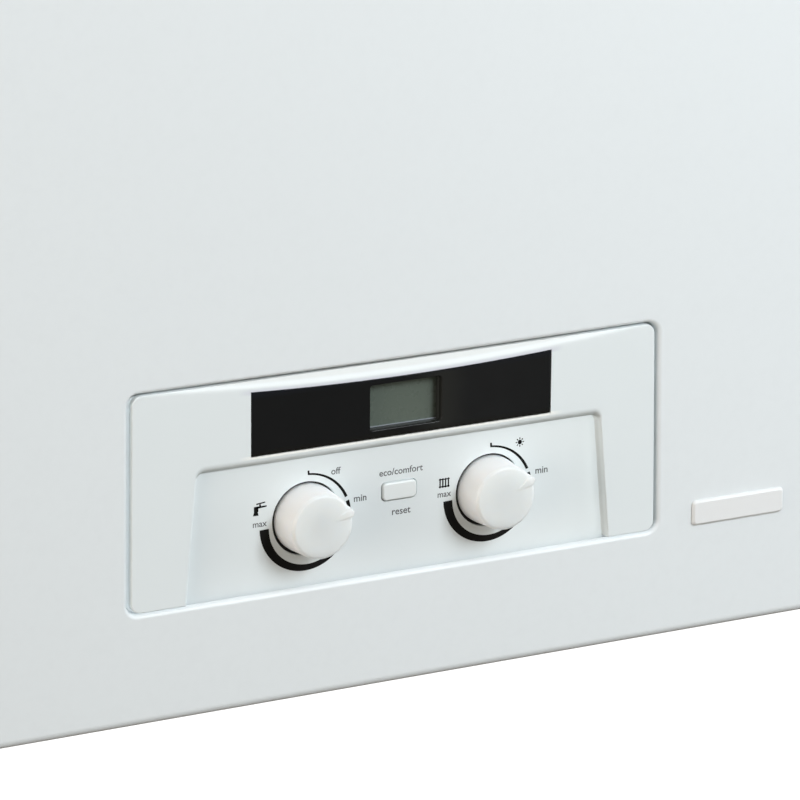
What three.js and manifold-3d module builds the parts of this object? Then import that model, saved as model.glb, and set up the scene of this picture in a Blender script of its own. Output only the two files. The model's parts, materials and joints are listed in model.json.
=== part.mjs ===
// Wall-hung, room-sealed gas combination boiler, as an assembly of separate pieces.
// Millimetres, +Z up, +X to the right of someone facing the front, +Y into the wall.
// The origin is the centre of the hanging bracket's back face, on the wall plane.
// Inside the group `boiler`, z = 0 is the lower edge of the casing.
import * as THREE from 'three';
import { mergeVertices } from 'three/addons/utils/BufferGeometryUtils.js';
import Module from 'manifold-3d';

const wasm = await Module();
wasm.setup();

// ---------------------------------------------------------------- driving dimensions
const CASE_W = 410;          // casing width
const CASE_H = 740;          // casing height, without the flue collar and the pipe tails
const CASE_D = 310;          // casing depth, wall to front face
const HANG_Z = 690;          // hanging point above the casing's lower edge
const SHEET = 1.2;           // casing sheet with its paint
const FOLD = 4;              // outer fold radius of the front cover
const COVER_RETURN = 27;     // depth of the front cover's returned edges
const GAP = 0.3;             // smallest clearance between two pieces
const ROUND = 0.58;          // share of the stated facets that a round piece is built with

const FACE = -CASE_D;        // y of the front face
const OPEN_W = 244.2;        // control panel opening in the front cover
const OPEN_H = 90.4;
const OPEN_R = 5;
const OPEN_Z = 92.8;         // height of the opening's centre
const LIP_Y = FACE + 5.4;    // how far the opening's lip turns in

const FASCIA_W = 242.2;
const FASCIA_H = 88.8;
const PANEL = { x: 1.0, z: 92.2 };   // what sits in the fascia is laid out about this point
const RECESS_Y = FACE + 5;   // floor of the fascia's recess
const RECESS_TOP = 9.45;     // heights inside the fascia are measured from PANEL.z
const EDGE_R = 3.85;         // rounded upper edge of the recess
const STRIP_X = 69;          // half width of the display strip
const STRIP_BOTTOM = 13.4;
const ARC_Z = 39.2;          // lowest point of the curved line above the strip
const ARC_K = 0.00038;       // how fast that line rises to the sides
const LCD = { x0: -15, x1: 17.7, z0: 17.4, z1: 36.2 };
const KNOBS = [              // the left knob sets the hot tap water, the right one the heating water
  { name: 'dhw', x: -41.5, pointer: THREE.MathUtils.degToRad(19) },
  { name: 'heating', x: 43.3, pointer: THREE.MathUtils.degToRad(27) },
];
const KNOB_Z = -16.9;
const KNOB_LIFT = 0.4;       // the knob's rim stands this far off the recess floor
const KNOB_H = 14.2;
const KNOB_R = 14.4;
const BUTTON = { x: 0.95, z: -11.1, w: 15.6, h: 7.4 };
const BADGE = { x: 162.4, z: 52.5, w: 45.2, h: 11 };

const TAIL_X = { flow: -130, hot: -65, gas: 0, cold: 65, ret: 130 };
const TAIL_Y = -75;
const TAIL_Z = -42;          // lower end of the pipe tails
const FLUE_Y = -182;         // centre of the flue collar in front of the wall
const INLET_X = 130;         // the two air inlet covers beside it

// ---------------------------------------------------------------- solids
// A closed three.js geometry becomes a solid for joining and cutting.
function solid(geometry) {
  const g = geometry.index ? geometry.toNonIndexed() : geometry.clone();
  g.deleteAttribute('normal');
  g.deleteAttribute('uv');
  const m = mergeVertices(g, 1e-4);
  const p = m.attributes.position.array;
  const i = m.index.array;
  const tri = [];
  let volume = 0;
  for (let t = 0; t < i.length; t += 3) {
    const [a, b, c] = [i[t], i[t + 1], i[t + 2]];
    if (a === b || b === c || a === c) continue;
    tri.push(a, b, c);
    volume += p[3 * a] * (p[3 * b + 1] * p[3 * c + 2] - p[3 * b + 2] * p[3 * c + 1])
            - p[3 * a + 1] * (p[3 * b] * p[3 * c + 2] - p[3 * b + 2] * p[3 * c])
            + p[3 * a + 2] * (p[3 * b] * p[3 * c + 1] - p[3 * b + 1] * p[3 * c]);
  }
  if (volume < 0) for (let t = 0; t < tri.length; t += 3) [tri[t], tri[t + 1]] = [tri[t + 1], tri[t]];
  return new wasm.Manifold(new wasm.Mesh({
    numProp: 3, vertProperties: new Float32Array(p), triVerts: new Uint32Array(tri),
  }));
}
function geometryOf(s) {
  const m = s.getMesh();
  const g = new THREE.BufferGeometry();
  g.setAttribute('position', new THREE.BufferAttribute(new Float32Array(m.vertProperties), 3));
  g.setIndex(new THREE.BufferAttribute(new Uint32Array(m.triVerts), 1));
  g.computeVertexNormals();
  return g;
}
const join = (...s) => s.flat().reduce((a, b) => a.add(b));
const cut = (s, ...tools) => tools.flat().reduce((a, b) => a.subtract(b), s);

function block(x0, x1, y0, y1, z0, z1) {
  const g = new THREE.BoxGeometry(x1 - x0, y1 - y0, z1 - z0);
  g.translate((x0 + x1) / 2, (y0 + y1) / 2, (z0 + z1) / 2);
  return solid(g);
}
// A cylinder or cone along an axis, from a to b; c is its centre in the other two coordinates, in x, y, z order.
function rod(axis, c, r, a, b, seg = 24, r2 = r) {
  const g = new THREE.CylinderGeometry(r2, r, b - a, facets(seg));
  g.translate(0, (a + b) / 2, 0);
  if (axis === 'z') { g.rotateX(Math.PI / 2); g.translate(c[0], c[1], 0); }
  if (axis === 'y') g.translate(c[0], 0, c[1]);
  if (axis === 'x') { g.rotateZ(-Math.PI / 2); g.translate(0, c[0], c[1]); }
  return solid(g);
}
const pipeRing = (axis, c, r, bore, a, b, seg = 24) => cut(rod(axis, c, r, a, b, seg), rod(axis, c, bore, a - 1, b + 1, seg));

function facets(n) {
  return n <= 8 ? n : Math.max(8, 2 * Math.round((n * ROUND) / 2));
}
function outline(points) {
  return new THREE.Shape(points.map(([u, v]) => new THREE.Vector2(u, v)));
}
// Maps an extrusion along its own z to the axis asked for: x takes (y, z) outlines, y takes (x, z), z takes (x, y).
const AXES = {
  x: new THREE.Matrix4().set(0, 0, 1, 0, 1, 0, 0, 0, 0, 1, 0, 0, 0, 0, 0, 1),
  y: new THREE.Matrix4().set(1, 0, 0, 0, 0, 0, 1, 0, 0, 1, 0, 0, 0, 0, 0, 1),
  z: new THREE.Matrix4(),
};
function extrude(axis, points, a, b, bevel = null) {
  const g = new THREE.ExtrudeGeometry(outline(points), bevel
    ? { depth: b - a - 2 * bevel.t, bevelEnabled: true, bevelThickness: bevel.t, bevelSize: bevel.s,
        bevelOffset: bevel.outward ? 0 : -bevel.s, bevelSegments: bevel.n, steps: 1 }
    : { depth: b - a, bevelEnabled: false, steps: 1 });
  g.translate(0, 0, a + (bevel ? bevel.t : 0));
  g.applyMatrix4(AXES[axis]);
  return solid(g);
}
function roundRect(cu, cv, w, h, r, n = 4) {
  const pts = [];
  const corner = (u, v, from) => {
    for (let k = 0; k <= n; k++) {
      const t = from + (Math.PI / 2) * (k / n);
      pts.push([u + r * Math.cos(t), v + r * Math.sin(t)]);
    }
  };
  corner(cu + w / 2 - r, cv + h / 2 - r, 0);
  corner(cu - w / 2 + r, cv + h / 2 - r, Math.PI / 2);
  corner(cu - w / 2 + r, cv - h / 2 + r, Math.PI);
  corner(cu + w / 2 - r, cv - h / 2 + r, 1.5 * Math.PI);
  return pts;
}
// A body of revolution about its own axis: profile points are [radius, height].
function turned(profile, seg = 32) {
  return new THREE.LatheGeometry(profile.map(([r, h]) => new THREE.Vector2(r, h)), facets(seg));
}
// A round pipe along a smooth line through the points.
function pipe(points, r, steps, sides = 8) {
  const path = new THREE.CatmullRomCurve3(points.map((p) => new THREE.Vector3(...p)), false, 'centripetal');
  const section = [];
  for (let k = 0; k < sides; k++) section.push([r * Math.cos((2 * Math.PI * k) / sides), r * Math.sin((2 * Math.PI * k) / sides)]);
  return solid(new THREE.ExtrudeGeometry(outline(section), { steps, extrudePath: path, bevelEnabled: false }));
}

// ---------------------------------------------------------------- materials
const mat = (color, roughness, metalness = 0) => new THREE.MeshStandardMaterial({ color, roughness, metalness });
const M = {
  paint: mat(0xe3e8e9, 0.42), fascia: mat(0xdfe4e5, 0.5), knob: mat(0xe6e8e6, 0.42), badge: mat(0xe0e1e0, 0.4),
  strip: mat(0x1c1c1e, 0.18), lcd: mat(0x5a645c, 0.25), galvanised: mat(0xa9adae, 0.45, 0.85), steel: mat(0xb8babc, 0.35, 0.9),
  copper: mat(0xb87347, 0.35, 0.95), brass: mat(0xb99a55, 0.35, 0.95), aluminium: mat(0xc0c2c4, 0.4, 0.9),
  black: mat(0x232427, 0.5), grey: mat(0x6f7376, 0.6), board: mat(0x2f6a43, 0.5), red: mat(0xb3261c, 0.45),
  vessel: mat(0xa3201c, 0.4), ceramic: mat(0xded9cc, 0.8), glass: mat(0x9fb0ad, 0.08), blue: mat(0x2f5d94, 0.5),
};

// ---------------------------------------------------------------- assembly
const boiler = new THREE.Group();
boiler.name = 'gas_boiler';
const casing = new THREE.Group();
const controls = new THREE.Group();
controls.position.set(PANEL.x, 0, PANEL.z);
const chamber = new THREE.Group();
const water = new THREE.Group();
boiler.add(casing, controls, chamber, water);
boiler.position.set(0, 0, -HANG_Z);

function piece(group, name, shape, material, position = [0, 0, 0], rotation = [0, 0, 0]) {
  const mesh = new THREE.Mesh(shape.isBufferGeometry ? shape : geometryOf(shape), material);
  mesh.name = name;
  mesh.position.set(...position);
  mesh.rotation.set(...rotation);
  group.add(mesh);
  return mesh;
}
const W2 = CASE_W / 2;

// ---- casing -----------------------------------------------------------------
// Hanging rail: flat back on the wall, upturned lip in front; the frame's hooks drop over the lip.
{
  const profile = [[0, 668], [0, 712], [-5.5, 712], [-5.5, 724], [-8, 724], [-8, 709.5], [-2.5, 709.5], [-2.5, 668]];
  const rail = extrude('x', profile, -150, 150);
  const holes = [-120, -60, 60, 120].map((x) => rod('y', [x, 684], 4.5, -5, 2, 12));
  piece(casing, 'wall_bracket', cut(rail, holes), M.galvanised);
}
// Back frame: a shallow tray with its rim on the wall, and two hooks near its top.
{
  const plate = block(-198, 198, -12, -10.5, 23, 736);
  const rims = [block(-198, -196.5, -12, -0.5, 23, 736), block(196.5, 198, -12, -0.5, 23, 736)];
  const hooks = [-105, 105].flatMap((x) => [
    block(x - 20, x + 20, -11, -2.9, 724.35, 726.35),
    block(x - 20, x + 20, -4.4, -2.9, 714.5, 726.35),
  ]);
  const windows = [[-105, 90], [105, 90], [-150, 640], [150, 640]].map(([x, z]) => extrude('y', roundRect(x, z, 46, 70, 8, 3), -20, 5));
  piece(casing, 'back_frame', cut(join(plate, rims, hooks), windows), M.galvanised);
}
for (const side of [-1, 1]) {
  const profile = [[205, -12.3], [205, -282], [187, -282], [187, -280.8], [203.8, -280.8], [203.8, -13.5], [187, -13.5], [187, -12.3]]
    .map(([x, y]) => [side * x, y]);
  piece(casing, side < 0 ? 'side_panel_left' : 'side_panel_right', extrude('z', profile, 0, CASE_H), M.paint);
}
{
  const plate = join(block(-203.4, 203.4, -280.4, -14, 737.8, 739), block(-186, 186, -281.9, -270, 737.8, 739), block(-186, 186, -281.9, -280.7, 716, 738.5));
  piece(casing, 'top_plate', cut(plate, rod('z', [0, FLUE_Y], 47.2, 730, 745, 32),
    [-1, 1].map((s) => rod('z', [s * INLET_X, FLUE_Y], 36, 730, 745, 24))), M.galvanised);
}
{
  const plate = join(block(-203, 203, -280, -14, 20, 21.5), block(-186, 186, -280, -278.8, 1.8, 20.5),
    [-150, 150].map((x) => block(x - 16, x + 16, -300, -279, 1.8, 3.3)));
  const slots = [-150, 150].map((x) => block(x - 2.9, x + 2.9, -301, -288, 0, 5));
  const holes = Object.values(TAIL_X).map((x) => rod('z', [x, TAIL_Y], 14, 10, 30, 16));
  const more = [rod('z', [178, -70], 9, 10, 30, 12), rod('z', [97.5, TAIL_Y], 7, 10, 30, 12), rod('z', [-172, -215], 8.5, 10, 30, 16)];
  piece(casing, 'bottom_plate', cut(plate, slots, holes, more), M.galvanised);
}
// Front cover: folded tray with the panel opening and its turned-in lip.
{
  const shell = (inset, front) => extrude('y', roundRect(0, CASE_H / 2, CASE_W - 2 * inset, CASE_H - 2 * inset, FOLD + 1 - inset, 3), front, -240,
    { t: FOLD - inset, s: FOLD - inset, n: 3 });
  const tray = cut(shell(0, FACE), shell(SHEET, FACE + SHEET), block(-220, 220, FACE + COVER_RETURN, -200, -10, 750));
  const open = (grow, a, b) => extrude('y', roundRect(0, OPEN_Z, OPEN_W + 2 * grow, OPEN_H + 2 * grow, OPEN_R + grow, 5), a, b);
  const flare = extrude('y', roundRect(0, OPEN_Z, OPEN_W, OPEN_H, OPEN_R, 5), FACE - 8, FACE + 1.1, { t: 1.1, s: 1.1, n: 1, outward: true });
  const screws = [-150, 150].map((x) => rod('z', [x, -292], 2.5, -5, 5, 12));
  piece(casing, 'front_cover', cut(join(tray, open(1.2, FACE + 0.6, LIP_Y)), open(0, FACE - 5, LIP_Y + 5), flare, screws), M.paint);
}
for (const side of [-1, 1]) {
  const screw = turned([[0, -3], [3.2, -3], [4.6, -1.9], [4.6, -0.35], [2, -0.35], [2, 8.5], [1.2, 9.5], [0, 9.5]], 16);
  piece(casing, side < 0 ? 'cover_screw_left' : 'cover_screw_right', screw, M.steel, [side * 150, -292, 0], [Math.PI / 2, 0, 0]);
}
piece(casing, 'badge_plate', extrude('y', roundRect(0, 0, BADGE.w, BADGE.h, 1.6, 3), -1.5, -GAP, { t: 0.5, s: 0.5, n: 1 }), M.badge,
  [BADGE.x, FACE, BADGE.z]);

// ---- control panel ------------------------------------------------------------
const arc = (x, lift = 0) => ARC_Z + ARC_K * x * x + lift;
const arcPoints = (x0, x1, n, lift) => Array.from({ length: n + 1 }, (_, k) => { const x = x0 + ((x1 - x0) * k) / n; return [x, arc(x, lift)]; });
{
  const plate = join(
    extrude('y', roundRect(-PANEL.x, OPEN_Z - PANEL.z, FASCIA_W, FASCIA_H, 4.3, 5), FACE, FACE + 9),
    extrude('y', roundRect(-PANEL.x, OPEN_Z - PANEL.z, 256, 102, 6, 3), FACE + 6.8, FACE + 8.8),
  );
  const half = (z) => 93.9 + (7.7 - z) * 0.0907;
  const recess = extrude('y', [[-half(RECESS_TOP), RECESS_TOP], [-half(-47), -47], [half(-47), -47], [half(RECESS_TOP), RECESS_TOP]], FACE - 3, RECESS_Y);
  const round = [[FACE - 1, RECESS_TOP - 1], [FACE - 1, RECESS_TOP + EDGE_R]];
  for (let k = 0; k <= 5; k++) {
    const t = (Math.PI / 2) * (k / 5);
    round.push([FACE + EDGE_R - EDGE_R * Math.cos(t), RECESS_TOP + EDGE_R - EDGE_R * Math.sin(t)]);
  }
  round.push([FACE + EDGE_R, RECESS_TOP - 1]);
  const edge = extrude('x', round, -half(RECESS_TOP), half(RECESS_TOP));
  const pocket = extrude('y', [[STRIP_X + GAP, STRIP_BOTTOM - GAP], ...arcPoints(STRIP_X + GAP, -STRIP_X - GAP, 8, GAP), [-STRIP_X - GAP, STRIP_BOTTOM - GAP]], FACE - 3, FACE + 2.3);
  const window_ = block(LCD.x0 - 1.5, LCD.x1 + 1.5, FACE - 1, FACE + 12, LCD.z0 - 1.4, LCD.z1 + 1.4);
  // The bright slope above the strip: a curved line on the face, running back towards the upper edge.
  const bevelTool = new THREE.ExtrudeGeometry(outline([...arcPoints(125, -125, 12, 0), [-125, 120], [125, 120]]), { depth: 14, bevelEnabled: false });
  bevelTool.translate(0, 0, FACE - 4);
  bevelTool.applyMatrix4(AXES.y);
  bevelTool.applyMatrix4(new THREE.Matrix4().set(1, 0, 0, 0, 0, 1, 0, 0, 0, 2.16, 1, -2.16 * FACE, 0, 0, 0, 1));
  const buttonHole = extrude('y', roundRect(BUTTON.x, BUTTON.z, BUTTON.w + 0.8, BUTTON.h + 0.8, 2.2, 3), FACE, FACE + 12);
  const shaftHoles = KNOBS.map((k) => rod('y', [k.x, KNOB_Z], 3.6, FACE, FACE + 12, 16));
  piece(controls, 'panel_fascia', cut(plate, recess, edge, pocket, window_, solid(bevelTool), buttonHole, shaftHoles), M.fascia);
}
{
  const strip = extrude('y', [[STRIP_X, STRIP_BOTTOM], ...arcPoints(STRIP_X, -STRIP_X, 8, -0.1), [-STRIP_X, STRIP_BOTTOM]], FACE, FACE + 2);
  piece(controls, 'display_strip', cut(strip, block(LCD.x0, LCD.x1, FACE - 2, FACE + 4, LCD.z0, LCD.z1)), M.strip);
}
piece(controls, 'lcd_module', block(LCD.x0 - 1.2, LCD.x1 + 1.2, FACE + 2.6, FACE + 10, LCD.z0 - 1.1, LCD.z1 + 1.1), M.lcd);
{
  const cap = extrude('y', roundRect(0, 0, BUTTON.w, BUTTON.h, 1.8, 3), -2, 5, { t: 0.5, s: 0.5, n: 1 });
  const flange = extrude('y', roundRect(0, 0, BUTTON.w + 3, BUTTON.h + 3, 2, 2), 3.4, 5);
  piece(controls, 'mode_button', join(cap, flange, rod('y', [0, 0], 1.5, 4.5, 13.5, 12)), M.knob, [BUTTON.x, FACE + 6, BUTTON.z]);
}
// Knobs: a tapered cap with a bore for its shaft and a small pointer nose on its rim.
for (const k of KNOBS) {
  const cap = solid(turned([[0, 10], [3.4, 10], [3.4, 0], [KNOB_R, 0], [KNOB_R - 0.05, 1.2], [13.75, 12.2], [13.45, 13.4], [12.6, KNOB_H], [0, KNOB_H]], 48));
  const nose = new THREE.ExtrudeGeometry(outline([[8, -0.8], [13.2, -2.2], [15.2, -0.5], [15.2, 0.5], [13.2, 2.2], [8, 0.8]]), { depth: KNOB_H - 1, bevelEnabled: false });
  nose.rotateX(-Math.PI / 2);
  nose.translate(0, 1.4, 0);
  const knob = piece(controls, `${k.name}_knob`, join(cap, solid(nose)), M.knob, [k.x, RECESS_Y - KNOB_LIFT, KNOB_Z]);
  knob.rotation.set(Math.PI, 0, 0);       // its axis points out of the panel
  knob.rotateY(k.pointer);
  piece(controls, `${k.name}_knob_shaft`, rod('y', [0, 0], 3, 0, 18.8, 16), M.aluminium, [k.x, RECESS_Y - KNOB_LIFT - 9.7, KNOB_Z]);
  piece(controls, `${k.name}_potentiometer`,
    join(rod('y', [0, 0], 8.5, 0, 8, 24), rod('y', [0, 0], 4.5, 8, 10.6, 12), block(-8, 8, 2, 8, -13, -4)), M.aluminium,
    [k.x, FACE + 14, KNOB_Z]);
}
{
  const y = FACE + 25;
  const board = block(-150, 150, y, y + 1.6, -58, 68);
  const pins = join(block(-3.3 + BUTTON.x, 3.3 + BUTTON.x, y - 6, y + 0.5, BUTTON.z - 3.3, BUTTON.z + 3.3));
  const parts = [
    block(-140, -98, y + 1, y + 30, 20, 60), block(-90, -72, y + 1, y + 18, 30, 60), block(-66, -48, y + 1, y + 18, 30, 60),
    rod('y', [-20, 45], 9, y + 1, y + 24, 16), rod('y', [4, 45], 7, y + 1, y + 20, 12),
    block(30, 62, y + 1, y + 5, 10, 42), block(80, 96, y + 1, y + 22, 26, 54), block(104, 120, y + 1, y + 22, 26, 54),
    block(-140, 140, y + 1, y + 13, -54, -42),
  ];
  piece(controls, 'circuit_board', cut(join(board, pins, parts), rod('y', [BUTTON.x, BUTTON.z], 1.9, y - 8, y - 2.5, 12)), M.board);
}
{
  const outer = block(-172, 172, FACE + 9.1, -248, -65, 77);
  const inner = block(-170, 170, FACE + 11.1, -240, -63, 75);
  piece(controls, 'control_box', cut(outer, inner, block(-112, 112, FACE, FACE + 20, -38, 42)), M.grey);
  piece(controls, 'control_box_lid', join(block(-172, 172, -247.6, -245.8, -65, 77), block(-150, 150, -246, -244.3, -45, 57)), M.grey);
}
piece(controls, 'cable_gland', cut(join(rod('z', [0, 0], 8, -12, 12, 16), rod('z', [0, 0], 11, -9.5, -2.3, 6), rod('z', [0, 0], 11, -0.2, 5, 6)),
  rod('z', [0, 0], 4.2, -20, 20, 12)), M.black, [-172 - PANEL.x, -215, 22 - PANEL.z]);

// ---- sealed chamber --------------------------------------------------------------
{
  const shell = cut(block(-190, 190, -262, -98, 306, 734), block(-188.8, 188.8, -270, -99.2, 307.2, 732.8));
  const holes = [rod('z', [0, FLUE_Y], 47.2, 725, 740, 32), ...[-1, 1].map((s) => rod('z', [s * INLET_X, FLUE_Y], 36, 725, 740, 24)),
    rod('z', [-124, -180], 10.5, 300, 312, 16), rod('z', [124, -180], 10.5, 300, 312, 16), rod('z', [0, -248], 8.5, 300, 312, 16)];
  piece(chamber, 'sealed_chamber', cut(shell, holes), M.galvanised);
  const lid = join(block(-192, 192, -264.6, -263.2, 304, 736), block(-170, 170, -268, -264, 330, 715));
  const pan = cut(lid, block(-168.8, 168.8, -266.8, -260, 331.2, 713.8));
  piece(chamber, 'chamber_cover', cut(pan, rod('y', [0, 440], 13, -275, -260, 24)), M.galvanised);
  piece(chamber, 'sight_glass', turned([[0, 0], [16, 0], [16, 1.5], [12.5, 1.5], [12.5, 4.5], [0, 4.5]], 24), M.glass, [0, -269.9, 440]);
}
{
  const tray = cut(block(-106, 106, -240, -120, 330, 344), block(-104, 104, -238, -122, 333, 350));
  const blades = Array.from({ length: 11 }, (_, k) => block(-97 + k * 18.6, -89 + k * 18.6, -239, -121, 331, 372));
  piece(chamber, 'burner', join(tray, blades), M.steel);
  const rail = block(-104, 104, -256, -244.5, 338, 352);
  const jets = Array.from({ length: 11 }, (_, k) => rod('y', [-93 + k * 18.6, 345], 2.6, -245, -240.6, 6));
  piece(chamber, 'gas_manifold', join(rail, jets, rod('z', [0, -248], 7.4, 330, 339, 12)), M.aluminium);
  const pair = [40, 56].flatMap((x) => [rod('z', [x, -252], 3.6, 356, 384, 10), rod('y', [x, 374], 0.9, -252, -222, 6)]);
  piece(chamber, 'ignition_electrode', join(block(33, 63, -253.5, -250.5, 360, 366), pair), M.ceramic);
}
piece(chamber, 'combustion_chamber', cut(block(-112, 112, -246, -114, 376.5, 500), block(-102, 102, -236, -124, 370, 510)), M.ceramic);
{
  const core = block(-111, 111, -245, -115, 503, 560);
  const slots = Array.from({ length: 12 }, (_, k) => block(-105.5 + k * 17.8, -90.3 + k * 17.8, -241, -119, 500, 565));
  const ends = [block(-136, -110.5, -236, -124, 518, 545), block(110.5, 136, -236, -124, 518, 545)];
  const tails = [rod('z', [-124, -180], 8.5, 506, 520, 12), rod('z', [124, -180], 8.5, 506, 520, 12)];
  piece(chamber, 'heat_exchanger', join(cut(core, slots), ends, tails), M.copper);
}
{
  const taper = (x, y0, y1, z0, X, Y0, Y1, z1) => {
    // a four-sided funnel between two level rectangles, cut from a block by its sloping sides
    const profileX = extrude('y', [[-x, z0], [x, z0], [X, z1], [-X, z1]], -300, 0);
    return profileX.intersect(extrude('x', [[y0, z0], [y1, z0], [Y1, z1], [Y0, z1]], -300, 300));
  };
  const outer = join(taper(111, -245, -115, 563, 46, -147, -115, 602), block(-46, 46, -147, -115, 601, 706));
  const inner = join(taper(109.5, -243.5, -116.5, 562, 44.5, -145.5, -116.5, 602.5), block(-44.5, 44.5, -145.5, -116.5, 601, 704.5));
  piece(chamber, 'flue_hood', cut(outer, inner, rod('y', [0, 664], 27, -150, -140, 24)), M.galvanised);
}
{
  const drum = join(rod('y', [0, 664], 52, -214, -149, 36), rod('z', [0, FLUE_Y], 31.2, 690, 795.3, 24));
  const hollow = join(rod('y', [0, 664], 50.5, -212.5, -150.5, 36), rod('z', [0, FLUE_Y], 29.7, 690, 800, 24));
  piece(chamber, 'fan_housing', cut(drum, hollow, rod('y', [0, 664], 27, -155, -140, 24), rod('y', [0, 664], 12, -220, -210, 16)), M.aluminium);
  const motor = join(rod('y', [0, 0], 32, -36, 0, 28), rod('y', [0, 0], 14, -40, -35, 16), block(-14, 14, -30, -4, 28, 42));
  piece(chamber, 'fan_motor', cut(motor, rod('y', [0, 0], 3.8, -26, 5, 12)), M.black, [0, -214.3, 664]);
  const blade = (k) => {
    const g = new THREE.BoxGeometry(13, 17, 1.2);
    g.translate(38, 0, 0);
    g.rotateY((2 * Math.PI * k) / 12);
    return solid(g);
  };
  const wheel = join(rod('y', [0, 0], 45, 8, 9.5, 32), Array.from({ length: 12 }, (_, k) => blade(k)), pipeRing('y', [0, 0], 45, 32, -9, -7.5, 32),
    rod('y', [0, 0], 3, -9, 56, 12), rod('y', [0, 0], 10, -2, 9, 16));
  piece(chamber, 'fan_impeller', wheel, M.aluminium, [0, -178, 664], [Math.PI, 0, 0]);
}
piece(chamber, 'air_pressure_switch', join(rod('x', [0, 0], 32, 0, 14, 28), rod('x', [0, 0], 20, 13, 26, 20), rod('z', [4, 10], 0.1 + 2.9, -44, -20, 8),
  block(-3, 1, -20, 20, -12, 12)), M.black, [160, -180, 630]);
{
  const r = (a, b, z0, z1, n = 36) => pipeRing('z', [0, 0], b, a, z0, z1, n);
  // The collar carries the air round the fan's outlet tube.
  piece(chamber, 'flue_turret', join(r(47.5, 70, 0, 3), r(47.5, 50, 2, 56), r(47.5, 55, 50, 56)), M.paint, [0, FLUE_Y, 739.3]);
}
for (const side of [-1, 1]) {
  piece(chamber, side < 0 ? 'air_inlet_cap_left' : 'air_inlet_cap_right',
    turned([[0, 0], [46, 0], [46, 1.4], [39, 1.8], [37, 5.2], [33, 6], [0, 6]], 36), M.paint, [side * INLET_X, FLUE_Y, 739.3], [Math.PI / 2, 0, 0]);
}

// ---- water and gas parts ----------------------------------------------------------
{
  const outer = turned([[0, -38], [128, -38], [150, -30], [159, -12], [160, -3], [165, -3], [165, 3], [160, 3], [159, 12], [150, 30], [128, 38], [0, 38]], 36);
  const inner = turned([[0, -36.2], [127, -36.2], [148.5, -28.6], [157, -11.5], [157, 11.5], [148.5, 28.6], [127, 36.2], [0, 36.2]], 36);
  piece(water, 'expansion_vessel', cut(join(solid(outer), rod('z', [0, 0], 7, -178, -150, 12)), solid(inner), rod('z', [0, 0], 3.5, -180, -140, 8)),
    M.vessel, [0, -56, 505]);
}
piece(water, 'vessel_pipe', pipe([[0, -56, 326.4], [0, -56, 305], [20, -56, 285], [70, -56, 262], [112, -62, 235], [118, -74, 205], [118, -84, 170], [118, -84, 125.5]], 5, 16), M.copper);
{
  // Pump with the return side's brass block, its tail and the air vent's chamber.
  const body = join(rod('y', [130, 100], 52, -150, -97, 36), block(105, 155, -100, -50, 24, 92), rod('z', [118, -84], 8, 90, 125, 12),
    rod('z', [130, -125], 12, 140, 186, 16), rod('z', [TAIL_X.ret, TAIL_Y], 11, TAIL_Z, 30, 20), rod('z', [TAIL_X.ret, TAIL_Y], 15, 0, 18, 6),
    rod('x', [TAIL_Y, 74], 8, 80.4, 110, 12), rod('z', [168, -124], 13, 150, 186, 16), rod('z', [168, -124], 5, 120, 152, 10));
  piece(water, 'pump_body', cut(body, rod('y', [130, 100], 40, -146, -112, 32), rod('y', [130, 100], 22, -155, -140, 24),
    rod('z', [TAIL_X.ret, TAIL_Y], 8, TAIL_Z - 2, 20, 16)), M.brass);
  const motor = join(rod('y', [130, 100], 45, -222, -150.3, 36), rod('y', [130, 100], 12, -227, -221, 16), block(104, 156, -215, -165, 140, 158));
  piece(water, 'pump_motor', cut(motor, rod('y', [130, 100], 6, -205, -149, 12)), M.grey);
  const vane = (k) => { const g = new THREE.BoxGeometry(22, 9, 1.6); g.translate(21, 0, 0); g.rotateY((2 * Math.PI * k) / 7); return solid(g); };
  piece(water, 'pump_impeller', join(rod('y', [0, 0], 34, 4, 7, 32), rod('y', [0, 0], 11, -4, 6, 16), Array.from({ length: 7 }, (_, k) => vane(k)),
    rod('y', [0, 0], 5, -72, 5, 12)), M.black, [130, -128, 100]);
}
piece(water, 'air_vent_cap', join(rod('z', [0, 0], 6.5, 0, 8, 12), rod('z', [0, 0], 4, 7.5, 11, 12), block(-1.2, 1.2, -7.5, 7.5, 1, 7)), M.black, [168, -124, 186.3]);
piece(water, 'return_pipe', pipe([[130, -125, 186.3], [130, -125, 205], [129, -135, 225], [126, -165, 250], [124, -180, 275], [124, -180, 300], [124, -180, 400], [124, -180, 505.7]], 9, 18), M.copper);
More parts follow.
